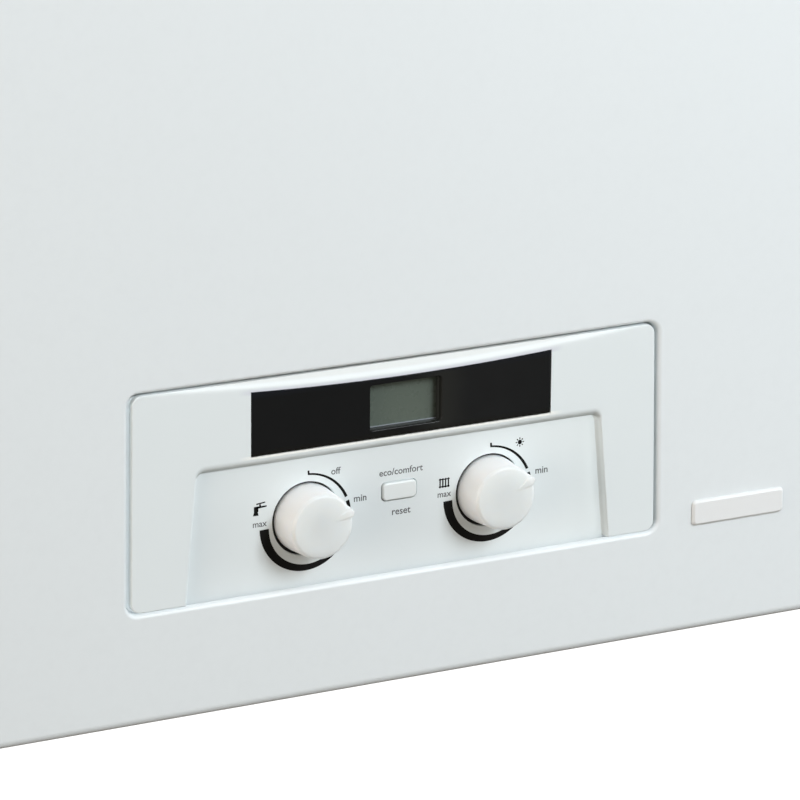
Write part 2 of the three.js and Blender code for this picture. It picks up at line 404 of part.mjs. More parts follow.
piece(water, 'flow_pipe', pipe([[-124, -180, 505.7], [-124, -180, 400], [-124, -180, 250], [-124, -180, 120], [-125, -172, 90], [-128, -150, 72], [-130, -125, 70], [-130, -98.4, 70]], 9, 20), M.copper);
{
  const body = join(block(-152, -108, -98, -52, 24, 95), rod('z', [TAIL_X.flow, TAIL_Y], 17, 94, 124, 20), rod('z', [TAIL_X.flow, TAIL_Y], 11, TAIL_Z, 30, 20),
    rod('z', [TAIL_X.flow, TAIL_Y], 15, 0, 18, 6), rod('x', [TAIL_Y, 84], 8, -110, -80.4, 12));
  piece(water, 'three_way_valve', cut(body, rod('z', [TAIL_X.flow, TAIL_Y], 12, 28, 88, 24), rod('z', [TAIL_X.flow, TAIL_Y], 8, TAIL_Z - 2, 30, 16),
    rod('z', [TAIL_X.flow, TAIL_Y], 3.6, 80, 130, 12)), M.brass);
  const head = join(block(-150, -110, -98, -52, 124.4, 172), rod('z', [TAIL_X.flow, TAIL_Y], 19, 170, 178, 20));
  piece(water, 'valve_actuator', cut(head, rod('z', [TAIL_X.flow, TAIL_Y], 3.6, 120, 150, 12)), M.black);
  piece(water, 'valve_plunger', turned([[0, 0], [10, 0], [10, 6], [3, 7], [3, 82], [0, 82]], 20), M.steel, [TAIL_X.flow, TAIL_Y, 50], [Math.PI / 2, 0, 0]);
}
{
  const plates = Array.from({ length: 8 }, (_, k) => block(-78, 78, -93, -35, 61 + k * 5.6, 64.8 + k * 5.6));
  piece(water, 'plate_heat_exchanger', join(block(-80, 80, -95, -33, 60, 63), block(-80, 80, -95, -33, 104, 107), block(-76, 76, -91, -37, 62, 105), plates), M.steel);
}
{
  const body = join(block(50, 80, -90, -60, 26, 48), rod('z', [TAIL_X.cold, TAIL_Y], 12, 46, 59.6, 20), rod('z', [TAIL_X.cold, TAIL_Y], 10, TAIL_Z, 30, 20),
    rod('z', [TAIL_X.cold, TAIL_Y], 15, 0, 18, 6), block(78, 103, -85, -65, 28, 44), rod('z', [97.5, TAIL_Y], 5.5, -4, 30, 12));
  piece(water, 'cold_water_block', cut(body, rod('z', [TAIL_X.cold, TAIL_Y], 7.2, TAIL_Z - 2, 40, 16)), M.brass);
  const lobes = Array.from({ length: 8 }, (_, k) => rod('z', [12.6 * Math.cos((Math.PI * k) / 4), 12.6 * Math.sin((Math.PI * k) / 4)], 2.2, -15, 0, 8));
  piece(water, 'filling_tap_knob', join(rod('z', [0, 0], 13, -16, 0, 24), lobes), M.blue, [97.5, TAIL_Y, -4.3]);
}
piece(water, 'hot_water_pipe', cut(join(rod('z', [TAIL_X.hot, TAIL_Y], 10, TAIL_Z, 59.6, 20), rod('z', [TAIL_X.hot, TAIL_Y], 15, 0, 18, 6), rod('z', [TAIL_X.hot, TAIL_Y], 14, 30, 44, 6)),
  rod('z', [TAIL_X.hot, TAIL_Y], 7.2, TAIL_Z - 2, 40, 16)), M.copper);
{
  const tail = join(rod('z', [TAIL_X.gas, TAIL_Y], 11, TAIL_Z, 26, 20), rod('z', [TAIL_X.gas, TAIL_Y], 15, 0, 18, 6));
  const run = pipe([[0, -75, 20], [0, -76, 30], [0, -86, 41], [0, -105, 44], [0, -145, 44], [0, -170, 44.5], [0, -182, 49], [0, -185, 54], [0, -185, 59.2]], 8, 14);
  piece(water, 'gas_pipe_lower', cut(join(tail, run), rod('z', [TAIL_X.gas, TAIL_Y], 8.4, TAIL_Z - 2, 14, 16)), M.steel);
  const valve = join(block(-30, 30, -214, -156, 74, 136), rod('z', [0, -185], 15, 60, 76, 16), rod('z', [0, -185], 15, 135, 150, 16),
    rod('x', [-172, 105], 15, -58, -28, 20), rod('x', [-202, 105], 12, -52, -28, 16), block(28, 48, -205, -165, 85, 128), rod('y', [12, 100], 8, -222, -212, 16));
  piece(water, 'gas_valve', valve, M.aluminium);
  piece(water, 'gas_pipe_upper', pipe([[0, -185, 150.4], [0, -185, 170], [0, -188, 200], [0, -205, 235], [0, -232, 262], [0, -245, 285], [0, -248, 305], [0, -248, 329.6]], 7.5, 14), M.copper);
}
{
  const body = join(block(166, 190, -82, -58, 34, 62), rod('x', [-70, 48], 6, 155.4, 168, 12), rod('z', [178, -70], 8, -26, 36, 16));
  piece(water, 'relief_valve', cut(body, rod('z', [178, -70], 5.5, -30, 20, 12)), M.brass);
  const ridges = Array.from({ length: 10 }, (_, k) => rod('y', [12.4 * Math.cos((Math.PI * k) / 5), 12.4 * Math.sin((Math.PI * k) / 5)], 1.8, -15, -1, 6));
  piece(water, 'relief_valve_knob', join(rod('y', [0, 0], 13, -16, 0, 24), ridges), M.red, [178, -82.4, 48]);
}

export default boiler;
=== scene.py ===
"""Looks of the wall-hung gas boiler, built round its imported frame. Shapes are made in millimetres with z = 0 at the
casing's lower edge, and put() turns them into metres in the row frame."""

import json
import math

import bmesh
import bpy
from mathutils import Matrix, Vector


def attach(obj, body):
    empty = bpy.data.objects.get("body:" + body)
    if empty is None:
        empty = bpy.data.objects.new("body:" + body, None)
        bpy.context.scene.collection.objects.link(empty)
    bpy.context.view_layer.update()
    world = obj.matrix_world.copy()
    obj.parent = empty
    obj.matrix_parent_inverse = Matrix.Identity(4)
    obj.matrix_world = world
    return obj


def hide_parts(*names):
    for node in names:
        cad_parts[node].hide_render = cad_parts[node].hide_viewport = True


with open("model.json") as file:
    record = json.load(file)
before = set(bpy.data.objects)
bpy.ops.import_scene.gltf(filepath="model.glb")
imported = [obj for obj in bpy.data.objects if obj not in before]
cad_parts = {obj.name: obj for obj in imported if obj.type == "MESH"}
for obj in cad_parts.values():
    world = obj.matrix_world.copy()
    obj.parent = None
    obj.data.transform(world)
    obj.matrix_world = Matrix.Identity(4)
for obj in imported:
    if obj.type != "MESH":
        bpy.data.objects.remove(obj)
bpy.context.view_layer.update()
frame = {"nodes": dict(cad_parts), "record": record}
nodes = frame["nodes"]
BODY = {n: b for b, members in frame["record"]["behaviour"]["bodies"].items() for n in members}
REPLACED = set()
scene = bpy.context.scene
scene.view_settings.view_transform = "Standard"
scene.view_settings.look = "None"
rad = math.radians

# ------------------------------------------------------------------ dimensions, millimetres
HANG = 690.0
FACE = -310.0
PX, PZ = 1.0, 92.2            # the point that the panel's pieces are laid out about
OPEN_W, OPEN_H, OPEN_R, OPEN_X, OPEN_Z = 244.7, 90.55, 5.0, 0.25, 92.72
FAS_W, FAS_H, FAS_X, FAS_Z = 242.4, 89.35, 0.4, 92.52
FLOOR_Y = FACE + 5
KNOB_Y = FACE + 4.6          # the knobs' rear rims
KNOBS = {"dhw": (-41.5, 19.0), "heating": (43.3, 27.0)}
KNOB_Z = -16.9
FLUE_Y = -182.0
TAIL = {"flow": -130, "hot": -65, "gas": 0, "cold": 65, "ret": 130}
TY, TZ = -75.0, -42.0


# ------------------------------------------------------------------ camera, stage and light
def make_camera():
    az, el, roll = rad(28.88), rad(16.25), rad(0.46)
    back = Vector((-math.sin(az) * math.cos(el), -math.cos(az) * math.cos(el), math.sin(el)))
    right = Vector((math.cos(az), -math.sin(az), 0))
    up = back.cross(right)
    r = right * math.cos(roll) + up * math.sin(roll)
    u = up * math.cos(roll) - right * math.sin(roll)
    data = bpy.data.cameras.new("camera")
    data.sensor_width, data.lens = 36.0, 231.99
    data.clip_start, data.clip_end = 0.05, 200
    cam = bpy.data.objects.new("camera", data)
    scene.collection.objects.link(cam)
    place = Vector((0.00161, -0.306, -0.57049)) + back * 2.0894
    cam.matrix_world = Matrix(((r.x, u.x, back.x, place.x), (r.y, u.y, back.y, place.y), (r.z, u.z, back.z, place.z), (0, 0, 0, 1)))
    scene.camera = cam


def make_world():
    """A pale room: brightest from above, dim from below and brighter from the left, as beside a white wall."""
    world = bpy.data.worlds.new("studio")
    scene.world = world
    world.use_nodes = True
    nt = world.node_tree
    nt.nodes.clear()
    out = nt.nodes.new("ShaderNodeOutputWorld")
    coord = nt.nodes.new("ShaderNodeTexCoord")
    sep = nt.nodes.new("ShaderNodeSeparateXYZ")
    ramp = nt.nodes.new("ShaderNodeValToRGB")
    ramp.color_ramp.elements[0].position = 0.0
    ramp.color_ramp.elements[0].color = (0.135, 0.13, 0.12, 1)
    ramp.color_ramp.elements[1].position = 1.0
    ramp.color_ramp.elements[1].color = (0.30, 0.31, 0.312, 1)
    for place, color in ((0.42, (0.215, 0.19, 0.155, 1)), (0.6, (0.20, 0.18, 0.155, 1))):
        ramp.color_ramp.elements.new(place).color = color
    half_ = nt.nodes.new("ShaderNodeMapRange")
    half_.inputs["From Min"].default_value = -1
    left = nt.nodes.new("ShaderNodeMapRange")
    left.inputs["From Min"].default_value = 0.0
    left.inputs["From Max"].default_value = -1.0
    warm = nt.nodes.new("ShaderNodeVectorMath")
    warm.operation = "MULTIPLY_ADD"
    warm.inputs[1].default_value = (0.113, 0.1, 0.085)
    soft = nt.nodes.new("ShaderNodeBackground")
    white = nt.nodes.new("ShaderNodeBackground")
    white.inputs["Color"].default_value = (1, 1, 1, 1)
    path = nt.nodes.new("ShaderNodeLightPath")
    mix = nt.nodes.new("ShaderNodeMixShader")
    nt.links.new(coord.outputs["Generated"], sep.inputs[0])
    nt.links.new(sep.outputs["Z"], half_.inputs["Value"])
    nt.links.new(sep.outputs["X"], left.inputs["Value"])
    nt.links.new(half_.outputs[0], ramp.inputs[0])
    nt.links.new(left.outputs[0], warm.inputs[0])
    nt.links.new(ramp.outputs[0], warm.inputs[2])
    nt.links.new(warm.outputs[0], soft.inputs["Color"])
    nt.links.new(path.outputs["Is Camera Ray"], mix.inputs[0])
    nt.links.new(soft.outputs[0], mix.inputs[1])
    nt.links.new(white.outputs[0], mix.inputs[2])
    nt.links.new(mix.outputs[0], out.inputs[0])


def area(name, place, target, size, power, color=(1, 1, 1), size_y=None):
    data = bpy.data.lights.new(name, "AREA")
    data.shape, data.size, data.size_y = "RECTANGLE", size, size_y or size
    data.energy, data.color = power, color
    ob = bpy.data.objects.new(name, data)
    scene.collection.objects.link(ob)
    place = Vector(place)
    ob.matrix_world = Matrix.Translation(place) @ (place - Vector(target)).to_track_quat("Z", "Y").to_matrix().to_4x4()
    return ob


make_camera()
make_world()
key_light = area("key_light", (0.975, -2.26, 0.88), (0, -0.31, -0.6), 0.9, 44.4, (0.935, 1.0, 1.055))
area("overhead", (0.15, -0.55, 0.6), (0, -0.31, -0.6), 0.8, 1.0, (1, 1, 1))
area("near_right", (0.66, -1.42, -0.15), (0, -0.31, -0.58), 0.55, 3.4, (0.98, 1.0, 1.01))
area("right_card", (2.2, -0.95, -0.3), (0, -0.31, -0.6), 0.9, 9.0, (0.98, 1.0, 1.01))
area("left_card", (-1.9, -0.9, -0.4), (0, -0.31, -0.6), 1.1, 14.5, (1.1, 0.985, 0.88))
area("back_fill", (-2.0, 2.6, 1.2), (0, 0, -0.35), 2.2, 40)
area("side_fill", (3.0, 0.6, 0.6), (0, -0.15, -0.35), 1.6, 8)


# ------------------------------------------------------------------ closed shapes
def mesh_of(verts, faces):
    me = bpy.data.meshes.new("shape")
    me.from_pydata([tuple(v) for v in verts], [], faces)
    bm = bmesh.new()
    bm.from_mesh(me)
    bmesh.ops.recalc_face_normals(bm, faces=bm.faces)
    bm.to_mesh(me)
    bm.free()
    return me


def loft(loops, closed=False):
    n = len(loops[0])
    verts = [p for loop in loops for p in loop]
    faces = []
    rows = len(loops)
    for i in range(rows if closed else rows - 1):
        a, b = i * n, ((i + 1) % rows) * n
        faces += [(a + k, a + (k + 1) % n, b + (k + 1) % n, b + k) for k in range(n)]
    if not closed:
        faces.append(tuple(range(n))[::-1])
        faces.append(tuple(range((rows - 1) * n, rows * n)))
    return mesh_of(verts, faces)


def at(axis, u, v, w):
    """(u, v) in the plane across the axis, w along it."""
    return {"x": (w, u, v), "y": (u, w, v), "z": (u, v, w)}[axis]


def rounded(points, r, n=4, closed=True):
    """Rounds a polygon's corners by radius r, a number or one for each corner."""
    out = []
    m = len(points)
    radii = r if isinstance(r, (list, tuple)) else [r] * m
    for i, (p, ri) in enumerate(zip(points, radii)):
        if ri <= 0 or (not closed and i in (0, m - 1)):
            out.append(p)
            continue
        a, b, c = Vector(points[i - 1]), Vector(p), Vector(points[(i + 1) % m])
        d0, d1 = (a - b), (c - b)
        l0, l1 = d0.length, d1.length
        if l0 < 1e-6 or l1 < 1e-6:
            out.append(p)
            continue
        d0, d1 = d0 / l0, d1 / l1
        cosang = max(-1.0, min(1.0, d0.dot(d1)))
        ang = math.acos(cosang)
        if ang > rad(176) or ang < rad(4):
            out.append(p)
            continue
        reach = min(ri / math.tan(ang / 2), 0.49 * l0, 0.49 * l1)
        rr = reach * math.tan(ang / 2)
        centre = b + (d0 + d1).normalized() * (rr / math.sin(ang / 2))
        s, e = b + d0 * reach - centre, b + d1 * reach - centre
        sweep = math.pi - ang
        sign = 1 if s.x * e.y - s.y * e.x > 0 else -1
        for k in range(n + 1):
            t = sign * sweep * k / n
            out.append((centre.x + s.x * math.cos(t) - s.y * math.sin(t), centre.y + s.x * math.sin(t) + s.y * math.cos(t)))
    return out


def rrect(cu, cv, w, h, r, n=8):
    pts = []
    for su, sv, a0 in ((1, 1, 0), (-1, 1, 90), (-1, -1, 180), (1, -1, 270)):
        for k in range(n + 1):
            t = rad(a0 + 90 * k / n)
            pts.append((cu + su * (w / 2 - r) + r * math.cos(t), cv + sv * (h / 2 - r) + r * math.sin(t)))
    return pts


def offset(points, d):
    """A closed outline moved inwards by d at every point, for small d."""
    m = len(points)
    area2 = sum(points[i][0] * points[(i + 1) % m][1] - points[(i + 1) % m][0] * points[i][1] for i in range(m))
    s = 1 if area2 > 0 else -1
    out = []
    for i in range(m):
        p0, p1, p2 = Vector(points[i - 1]), Vector(points[i]), Vector(points[(i + 1) % m])
        e0, e1 = (p1 - p0), (p2 - p1)
        if e0.length < 1e-7:
            e0 = e1
        if e1.length < 1e-7:
            e1 = e0
        n0, n1 = Vector((-e0.y, e0.x)).normalized() * s, Vector((-e1.y, e1.x)).normalized() * s
        nn = n0 + n1
        if nn.length < 1e-6:
            out.append(tuple(p1))
            continue
        nn.normalize()
        q = p1 + nn * (d / max(0.4, nn.dot(n0)))
        out.append((q.x, q.y))
    return out


def prism(axis, outline, a, b, edge=0.0, n=2, far=None):
    """An outline drawn along an axis from a to b, with its two rims rounded by edge (far for the b end)."""
    far = edge if far is None else far
    loops = []
    for k in range(n + 1) if edge > 0 else (n,):
        t = rad(90 * k / n)
        d = edge * (1 - math.sin(t))
        loops.append([at(axis, u, v, a + edge * (1 - math.cos(t))) for u, v in offset(outline, d)])
    for k in range(n, -1, -1) if far > 0 else (n,):
        t = rad(90 * k / n)
        d = far * (1 - math.sin(t))
        loops.append([at(axis, u, v, b - far * (1 - math.cos(t))) for u, v in offset(outline, d)])
    if edge <= 0:
        loops[0] = [at(axis, u, v, a) for u, v in outline]
    if far <= 0:
        loops[-1] = [at(axis, u, v, b) for u, v in outline]
    return loft(loops)


def block(x0, x1, y0, y1, z0, z1, r=0.0):
    if r <= 0:
        pts = [(x0, y0), (x1, y0), (x1, y1), (x0, y1)]
        return prism("z", pts, z0, z1)
    r = min(r, (x1 - x0) * 0.45, (y1 - y0) * 0.45, (z1 - z0) * 0.45)
    return prism("z", rrect((x0 + x1) / 2, (y0 + y1) / 2, x1 - x0, y1 - y0, r, 3), z0, z1, r, 3)


def turned(profile, seg=64, axis="z", c=(0, 0), at_h=0.0, wobble=None):
    """A body of revolution; the profile's points are (radius, height) from the axis back to the axis."""
    prof = list(profile)
    caps = [prof[0][0] < 1e-6 and abs(prof[0][1] - prof[1][1]) < 1e-6, prof[-1][0] < 1e-6 and abs(prof[-1][1] - prof[-2][1]) < 1e-6]
    if caps[0]:
        prof = prof[1:]
    if caps[1]:
        prof = prof[:-1]
    verts, rows = [], []
    for r, h in prof:
        if r < 1e-6:
            verts.append(at(axis, c[0], c[1], at_h + h))
            rows.append([len(verts) - 1] * seg)
            continue
        row = []
        for k in range(seg):
            t = 2 * math.pi * k / seg
            verts.append(at(axis, c[0] + r * math.cos(t), c[1] + r * math.sin(t), at_h + h))
            row.append(len(verts) - 1)
        rows.append(row)
    faces = []
    closed = not caps[0] and not caps[1] and prof[0][0] > 1e-6 and prof[-1][0] > 1e-6
    for i in range(len(rows) if closed else len(rows) - 1):
        ra, rb = rows[i], rows[(i + 1) % len(rows)]
        for k in range(seg):
            q = [ra[k], ra[(k + 1) % seg], rb[(k + 1) % seg], rb[k]]
            q = [x for j, x in enumerate(q) if x != q[j - 1]]
            if len(q) >= 3:
                faces.append(tuple(q))
    if caps[0]:
        faces.append(tuple(rows[0])[::-1])
    if caps[1]:
        faces.append(tuple(rows[-1]))
    return mesh_of(verts, faces)


def rod(axis, c, r, a, b, seg=40, r2=None, ch=0.0):
    r2 = r if r2 is None else r2
    if ch > 0:
        prof = rounded([(0, a), (r, a), (r2, b), (0, b)], [0, ch, ch, 0], 2, closed=False)
    else:
        prof = [(0, a), (r, a), (r2, b), (0, b)]
    return turned(prof, seg, axis, c)


def ring(axis, c, r, bore, a, b, seg=48, ch=0.0):
    prof = [(bore, a), (r, a), (r, b), (bore, b)]
    if ch > 0:
        prof = rounded(prof, ch, 2)
    return turned(prof, seg, axis, c)


def hexnut(axis, c, across, a, b, turn=0.0):
    """A hexagon with its corners turned off at both ends; across is measured over the corners' circle."""
    n = 48
    r, flat = across, across * math.cos(math.pi / 6)
    loops = []
    for h, lim in ((a, flat * 0.97), (a + (r - flat) * 0.6, r), (b - (r - flat) * 0.6, r), (b, flat * 0.97)):
        loop = []
        for k in range(n):
            t = 2 * math.pi * k / n
            local = (t - rad(turn)) % (math.pi / 3) - math.pi / 6
            d = min(flat / math.cos(local), lim)
            loop.append(at(axis, c[0] + d * math.cos(t), c[1] + d * math.sin(t), h))
        loops.append(loop)
    return loft(loops)


def thread(axis, c, r, pitch, a, b, seg=40, depth=0.45):
    """Turned grooves that stand for a screw thread."""
    prof = [(0, a), (r - depth, a)]
    h = a
    while h + pitch <= b + 1e-6:
        prof += [(r - depth, h + pitch * 0.15), (r, h + pitch * 0.45), (r, h + pitch * 0.6), (r - depth, h + pitch * 0.9)]
        h += pitch
    prof += [(r - depth, b), (0, b)]
    return turned(prof, seg, axis, c)


def spline(points, step=3.0):
    """The smooth line through the points (centripetal Catmull-Rom), sampled evenly."""
    P = [Vector(p) for p in points]
    P = [P[0] * 2 - P[1]] + P + [P[-1] * 2 - P[-2]]
    line = []
    for i in range(len(P) - 3):
        p0, p1, p2, p3 = P[i : i + 4]
        d0, d1, d2 = (max((b - a).length ** 0.5, 1e-4) for a, b in ((p0, p1), (p1, p2), (p2, p3)))
        t1 = (p1 - p0) / d0 - (p2 - p0) / (d0 + d1) + (p2 - p1) / d1
        t2 = (p2 - p1) / d1 - (p3 - p1) / (d1 + d2) + (p3 - p2) / d2
        t1, t2 = t1 * d1, t2 * d1
        for k in range(24):
            t = k / 24
            line.append((2 * t**3 - 3 * t**2 + 1) * p1 + (t**3 - 2 * t**2 + t) * t1 + (-2 * t**3 + 3 * t**2) * p2 + (t**3 - t**2) * t2)
    line.append(P[-2])
    length = [0.0]
    for a, b in zip(line, line[1:]):
        length.append(length[-1] + (b - a).length)
    count = max(2, round(length[-1] / step))
    out, j = [], 0
    for k in range(count + 1):
        s = length[-1] * k / count
        while j < len(line) - 2 and length[j + 1] < s:
            j += 1
        f = (s - length[j]) / max(length[j + 1] - length[j], 1e-9)
        out.append(line[j].lerp(line[j + 1], min(max(f, 0), 1)))
    return out


def pipe(points, r, sides=24, step=3.0, smooth=True):
    line = spline(points, step) if smooth else [Vector(p) for p in points]
    tangents = [(line[min(i + 1, len(line) - 1)] - line[max(i - 1, 0)]).normalized() for i in range(len(line))]
    normal = tangents[0].orthogonal().normalized()
    loops = []
    for p, t in zip(line, tangents):
        normal = (normal - t * normal.dot(t)).normalized()
        side = t.cross(normal)
        loops.append([tuple(p + (normal * math.cos(a) + side * math.sin(a)) * r) for a in (2 * math.pi * k / sides for k in range(sides))])
    return loft(loops)


def boolean(base, tools, op):
    ob = bpy.data.objects.new("base", base)
    scene.collection.objects.link(ob)
    made = [ob]
    for t in tools:
        to = bpy.data.objects.new("tool", t)
        scene.collection.objects.link(to)
        made.append(to)
        m = ob.modifiers.new("b", "BOOLEAN")
        m.solver, m.operation, m.object = "MANIFOLD", op, to
    dg = bpy.context.evaluated_depsgraph_get()
    out = bpy.data.meshes.new_from_object(ob.evaluated_get(dg))
    for o in made:
        bpy.data.objects.remove(o)
    return out


def flat(shapes):
    out = []
    for s in shapes:
        out += flat(s) if isinstance(s, (list, tuple)) else [s]
    return out


def join(*shapes):
    s = flat(shapes)
    return boolean(s[0], s[1:], "UNION") if len(s) > 1 else s[0]


def cut(base, *tools):
    return boolean(base, flat(tools), "DIFFERENCE")


def gather(*shapes):
    """Separate closed shapes in one mesh."""
    bm = bmesh.new()
    for s in flat(shapes):
        bm.from_mesh(s)
    me = bpy.data.meshes.new("shape")
    bm.to_mesh(me)
    bm.free()
    return me


def moved(me, offset_=(0, 0, 0), turn=None):
    me = me.copy()
    if turn:
        me.transform(Matrix.Rotation(rad(turn[1]), 4, Vector(turn[0])))
    me.transform(Matrix.Translation(Vector(offset_)))
    return me


def put(name, me, material, node=None, stands_for=(), bevel=0.0, sharp=34, body=None, segments=2, weighted=True):
    """Makes a piece of a shape: metres, row frame, rides with its body."""
    me = me.copy()
    me.transform(Matrix.Translation((0, 0, -HANG * 0.001)) @ Matrix.Scale(0.001, 4))
    bm = bmesh.new()
    bm.from_mesh(me)
    bmesh.ops.remove_doubles(bm, verts=bm.verts, dist=2e-6)
    bmesh.ops.dissolve_limit(bm, angle_limit=rad(0.4), verts=bm.verts, edges=bm.edges)
    bm.to_mesh(me)
    bm.free()
    me.name = name
    for p in me.polygons:
        p.use_smooth = True
    me.set_sharp_from_angle(angle=rad(sharp))
    me.materials.clear()
    me.materials.append(material)
    ob = bpy.data.objects.new(name, me)
    scene.collection.objects.link(ob)
    if bevel > 0:
        m = ob.modifiers.new("rounding", "BEVEL")
        m.width, m.segments, m.limit_method, m.angle_limit = bevel * 0.001, segments, "ANGLE", rad(sharp)
        m.harden_normals = False
        m.use_clamp_overlap = True
    if weighted:
        m = ob.modifiers.new("normals", "WEIGHTED_NORMAL")
        m.mode, m.weight, m.keep_sharp = "FACE_AREA", 60, True
    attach(ob, body or BODY[node])
    if node:
        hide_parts(node, *stands_for)
        REPLACED.update([node, *stands_for])
    return ob


# ------------------------------------------------------------------ finishes
class Finish:
    """A node material: base colour and roughness vary in soft patches, and fine bumps give the grain."""

    def __init__(self, name, color, rough, metal=0.0, spec=0.5, coat=0.0, coat_rough=0.1, ior=1.5):
        self.m = bpy.data.materials.new(name)
        self.m.use_nodes = True
        self.nt = self.m.node_tree
        self.p = self.nt.nodes["Principled BSDF"]
        self.color, self.rough = color, rough
        self.p.inputs["Base Color"].default_value = (*color, 1)
        self.p.inputs["Roughness"].default_value = rough
        self.p.inputs["Metallic"].default_value = metal
        self.p.inputs["Specular IOR Level"].default_value = spec
        self.p.inputs["IOR"].default_value = ior
        self.p.inputs["Coat Weight"].default_value = coat
        self.p.inputs["Coat Roughness"].default_value = coat_rough
        self.m.diffuse_color = (*color, 1)
        self.coord = self.new("ShaderNodeTexCoord")
        self.last_color = None
        self.last_rough = None
        self.last_bump = None

    def new(self, kind, **values):
        n = self.nt.nodes.new(kind)
        for k, v in values.items():
            setattr(n, k, v)
        return n

    def link(self, a, b):
        self.nt.links.new(a, b)

    def vector(self, stretch=None, turn=None):
        if stretch is None and turn is None:
            return self.coord.outputs["Object"]
        mp = self.new("ShaderNodeMapping")
        if stretch:
            mp.inputs["Scale"].default_value = stretch
        if turn:
            mp.inputs["Rotation"].default_value = turn
        self.link(self.coord.outputs["Object"], mp.inputs[0])
        return mp.outputs[0]

    def noise(self, scale, detail=2.0, stretch=None, rough=0.5, distort=0.0):
        n = self.new("ShaderNodeTexNoise")
        n.inputs["Scale"].default_value = scale
        n.inputs["Detail"].default_value = detail
        n.inputs["Roughness"].default_value = rough
        n.inputs["Distortion"].default_value = distort
        self.link(self.vector(stretch), n.inputs["Vector"])
        return n.outputs["Fac"]

    def cells(self, scale, stretch=None, feature="F1", output="Color"):
        n = self.new("ShaderNodeTexVoronoi", feature=feature)
        n.inputs["Scale"].default_value = scale
        self.link(self.vector(stretch), n.inputs["Vector"])
        return n.outputs[output]

    def ramp(self, fac, lo, hi, a=0.0, b=1.0):
        n = self.new("ShaderNodeMapRange", clamp=True)
        n.inputs["From Min"].default_value = lo
        n.inputs["From Max"].default_value = hi
        n.inputs["To Min"].default_value = a
        n.inputs["To Max"].default_value = b
        self.link(fac, n.inputs["Value"])
        return n.outputs[0]

    def times(self, *facs):
        out = facs[0]
        for fac in facs[1:]:
            n = self.new("ShaderNodeMath", operation="MULTIPLY")
            self.link(out, n.inputs[0])
            self.link(fac, n.inputs[1])
            out = n.outputs[0]
        return out

    def axes(self):
        n = self.new("ShaderNodeSeparateXYZ")
        self.link(self.coord.outputs["Object"], n.inputs[0])
        return n.outputs["X"], n.outputs["Y"], n.outputs["Z"]

    def tint(self, fac, other, amount=1.0, lo=0.35, hi=0.65):
        """Mixes towards another colour where fac is high."""
        mix = self.new("ShaderNodeMix", data_type="RGBA")
        if self.last_color is None:
            mix.inputs[6].default_value = (*self.color, 1)
        else:
            self.link(self.last_color, mix.inputs[6])
        mix.inputs[7].default_value = (*other, 1)
        self.link(self.ramp(fac, lo, hi, 0.0, amount), mix.inputs[0])
        self.last_color = mix.outputs[2]
        self.link(self.last_color, self.p.inputs["Base Color"])
        return self

    def patchy(self, fac, lo, hi):
        """Roughness between two values."""
        out = self.ramp(fac, 0.3, 0.7, lo, hi)
        self.link(out, self.p.inputs["Roughness"])
        return self

    def bump(self, fac, distance, strength=1.0):
        b = self.new("ShaderNodeBump")
        b.inputs["Distance"].default_value = distance
        b.inputs["Strength"].default_value = strength
        self.link(fac, b.inputs["Height"])
        if self.last_bump is not None:
            self.link(self.last_bump, b.inputs["Normal"])
        self.last_bump = b.outputs[0]
        self.link(self.last_bump, self.p.inputs["Normal"])
        return self


def scaled(c, k):
    return tuple(min(1.0, x * k) for x in c)


def painted(name, color, rough=0.42, peel=1.0, spec=0.5):
    f = Finish(name, color, rough, spec=spec)
    f.tint(f.noise(2.3, 1.0), scaled(color, 1.012), 1.0, 0.3, 0.7)
    f.tint(f.noise(260, 3.0), scaled(color, 0.985), 0.6, 0.45, 0.75)
    f.patchy(f.noise(90, 3.0), rough - 0.04, rough + 0.05)
    f.bump(f.noise(3.1, 1.0), 0.00010 * peel)
    f.bump(f.noise(620, 2.0), 0.000012 * peel)
    f.bump(f.noise(2600, 2.0), 0.0000025 * peel)
    return f.m


def moulded(name, color, rough=0.45, grain=1.0, spec=0.5, glow=0.0, front=None, tones=None):
    f = Finish(name, color, rough, spec=spec)
    if glow > 0:
        f.p.inputs["Subsurface Weight"].default_value = glow
        f.p.inputs["Subsurface Scale"].default_value = 0.012
        f.p.inputs["Subsurface Radius"].default_value = (1.0, 0.92, 0.86)
    f.tint(f.noise(9, 2.0), scaled(color, 0.985), 1.0, 0.35, 0.7)
    f.patchy(f.noise(160, 3.0), rough - 0.05, rough + 0.05)
    f.bump(f.noise(4200, 2.0), 0.0000035 * grain)
    f.bump(f.noise(900, 2.0), 0.0000030 * grain)
    # painted light: the knob's sides behind its face take the lighter colour front, so they read brighter than the face
    if front:
        sep = f.new("ShaderNodeSeparateXYZ")
        f.link(f.coord.outputs["Object"], sep.inputs[0])
        f.tint(f.ramp(sep.outputs["Y"], -0.3190, -0.3177), front, 0.95, 0.0, 1.0)
    # tones adds painted light and shade to the colour
    if tones:
        tones(f)
    return f.m


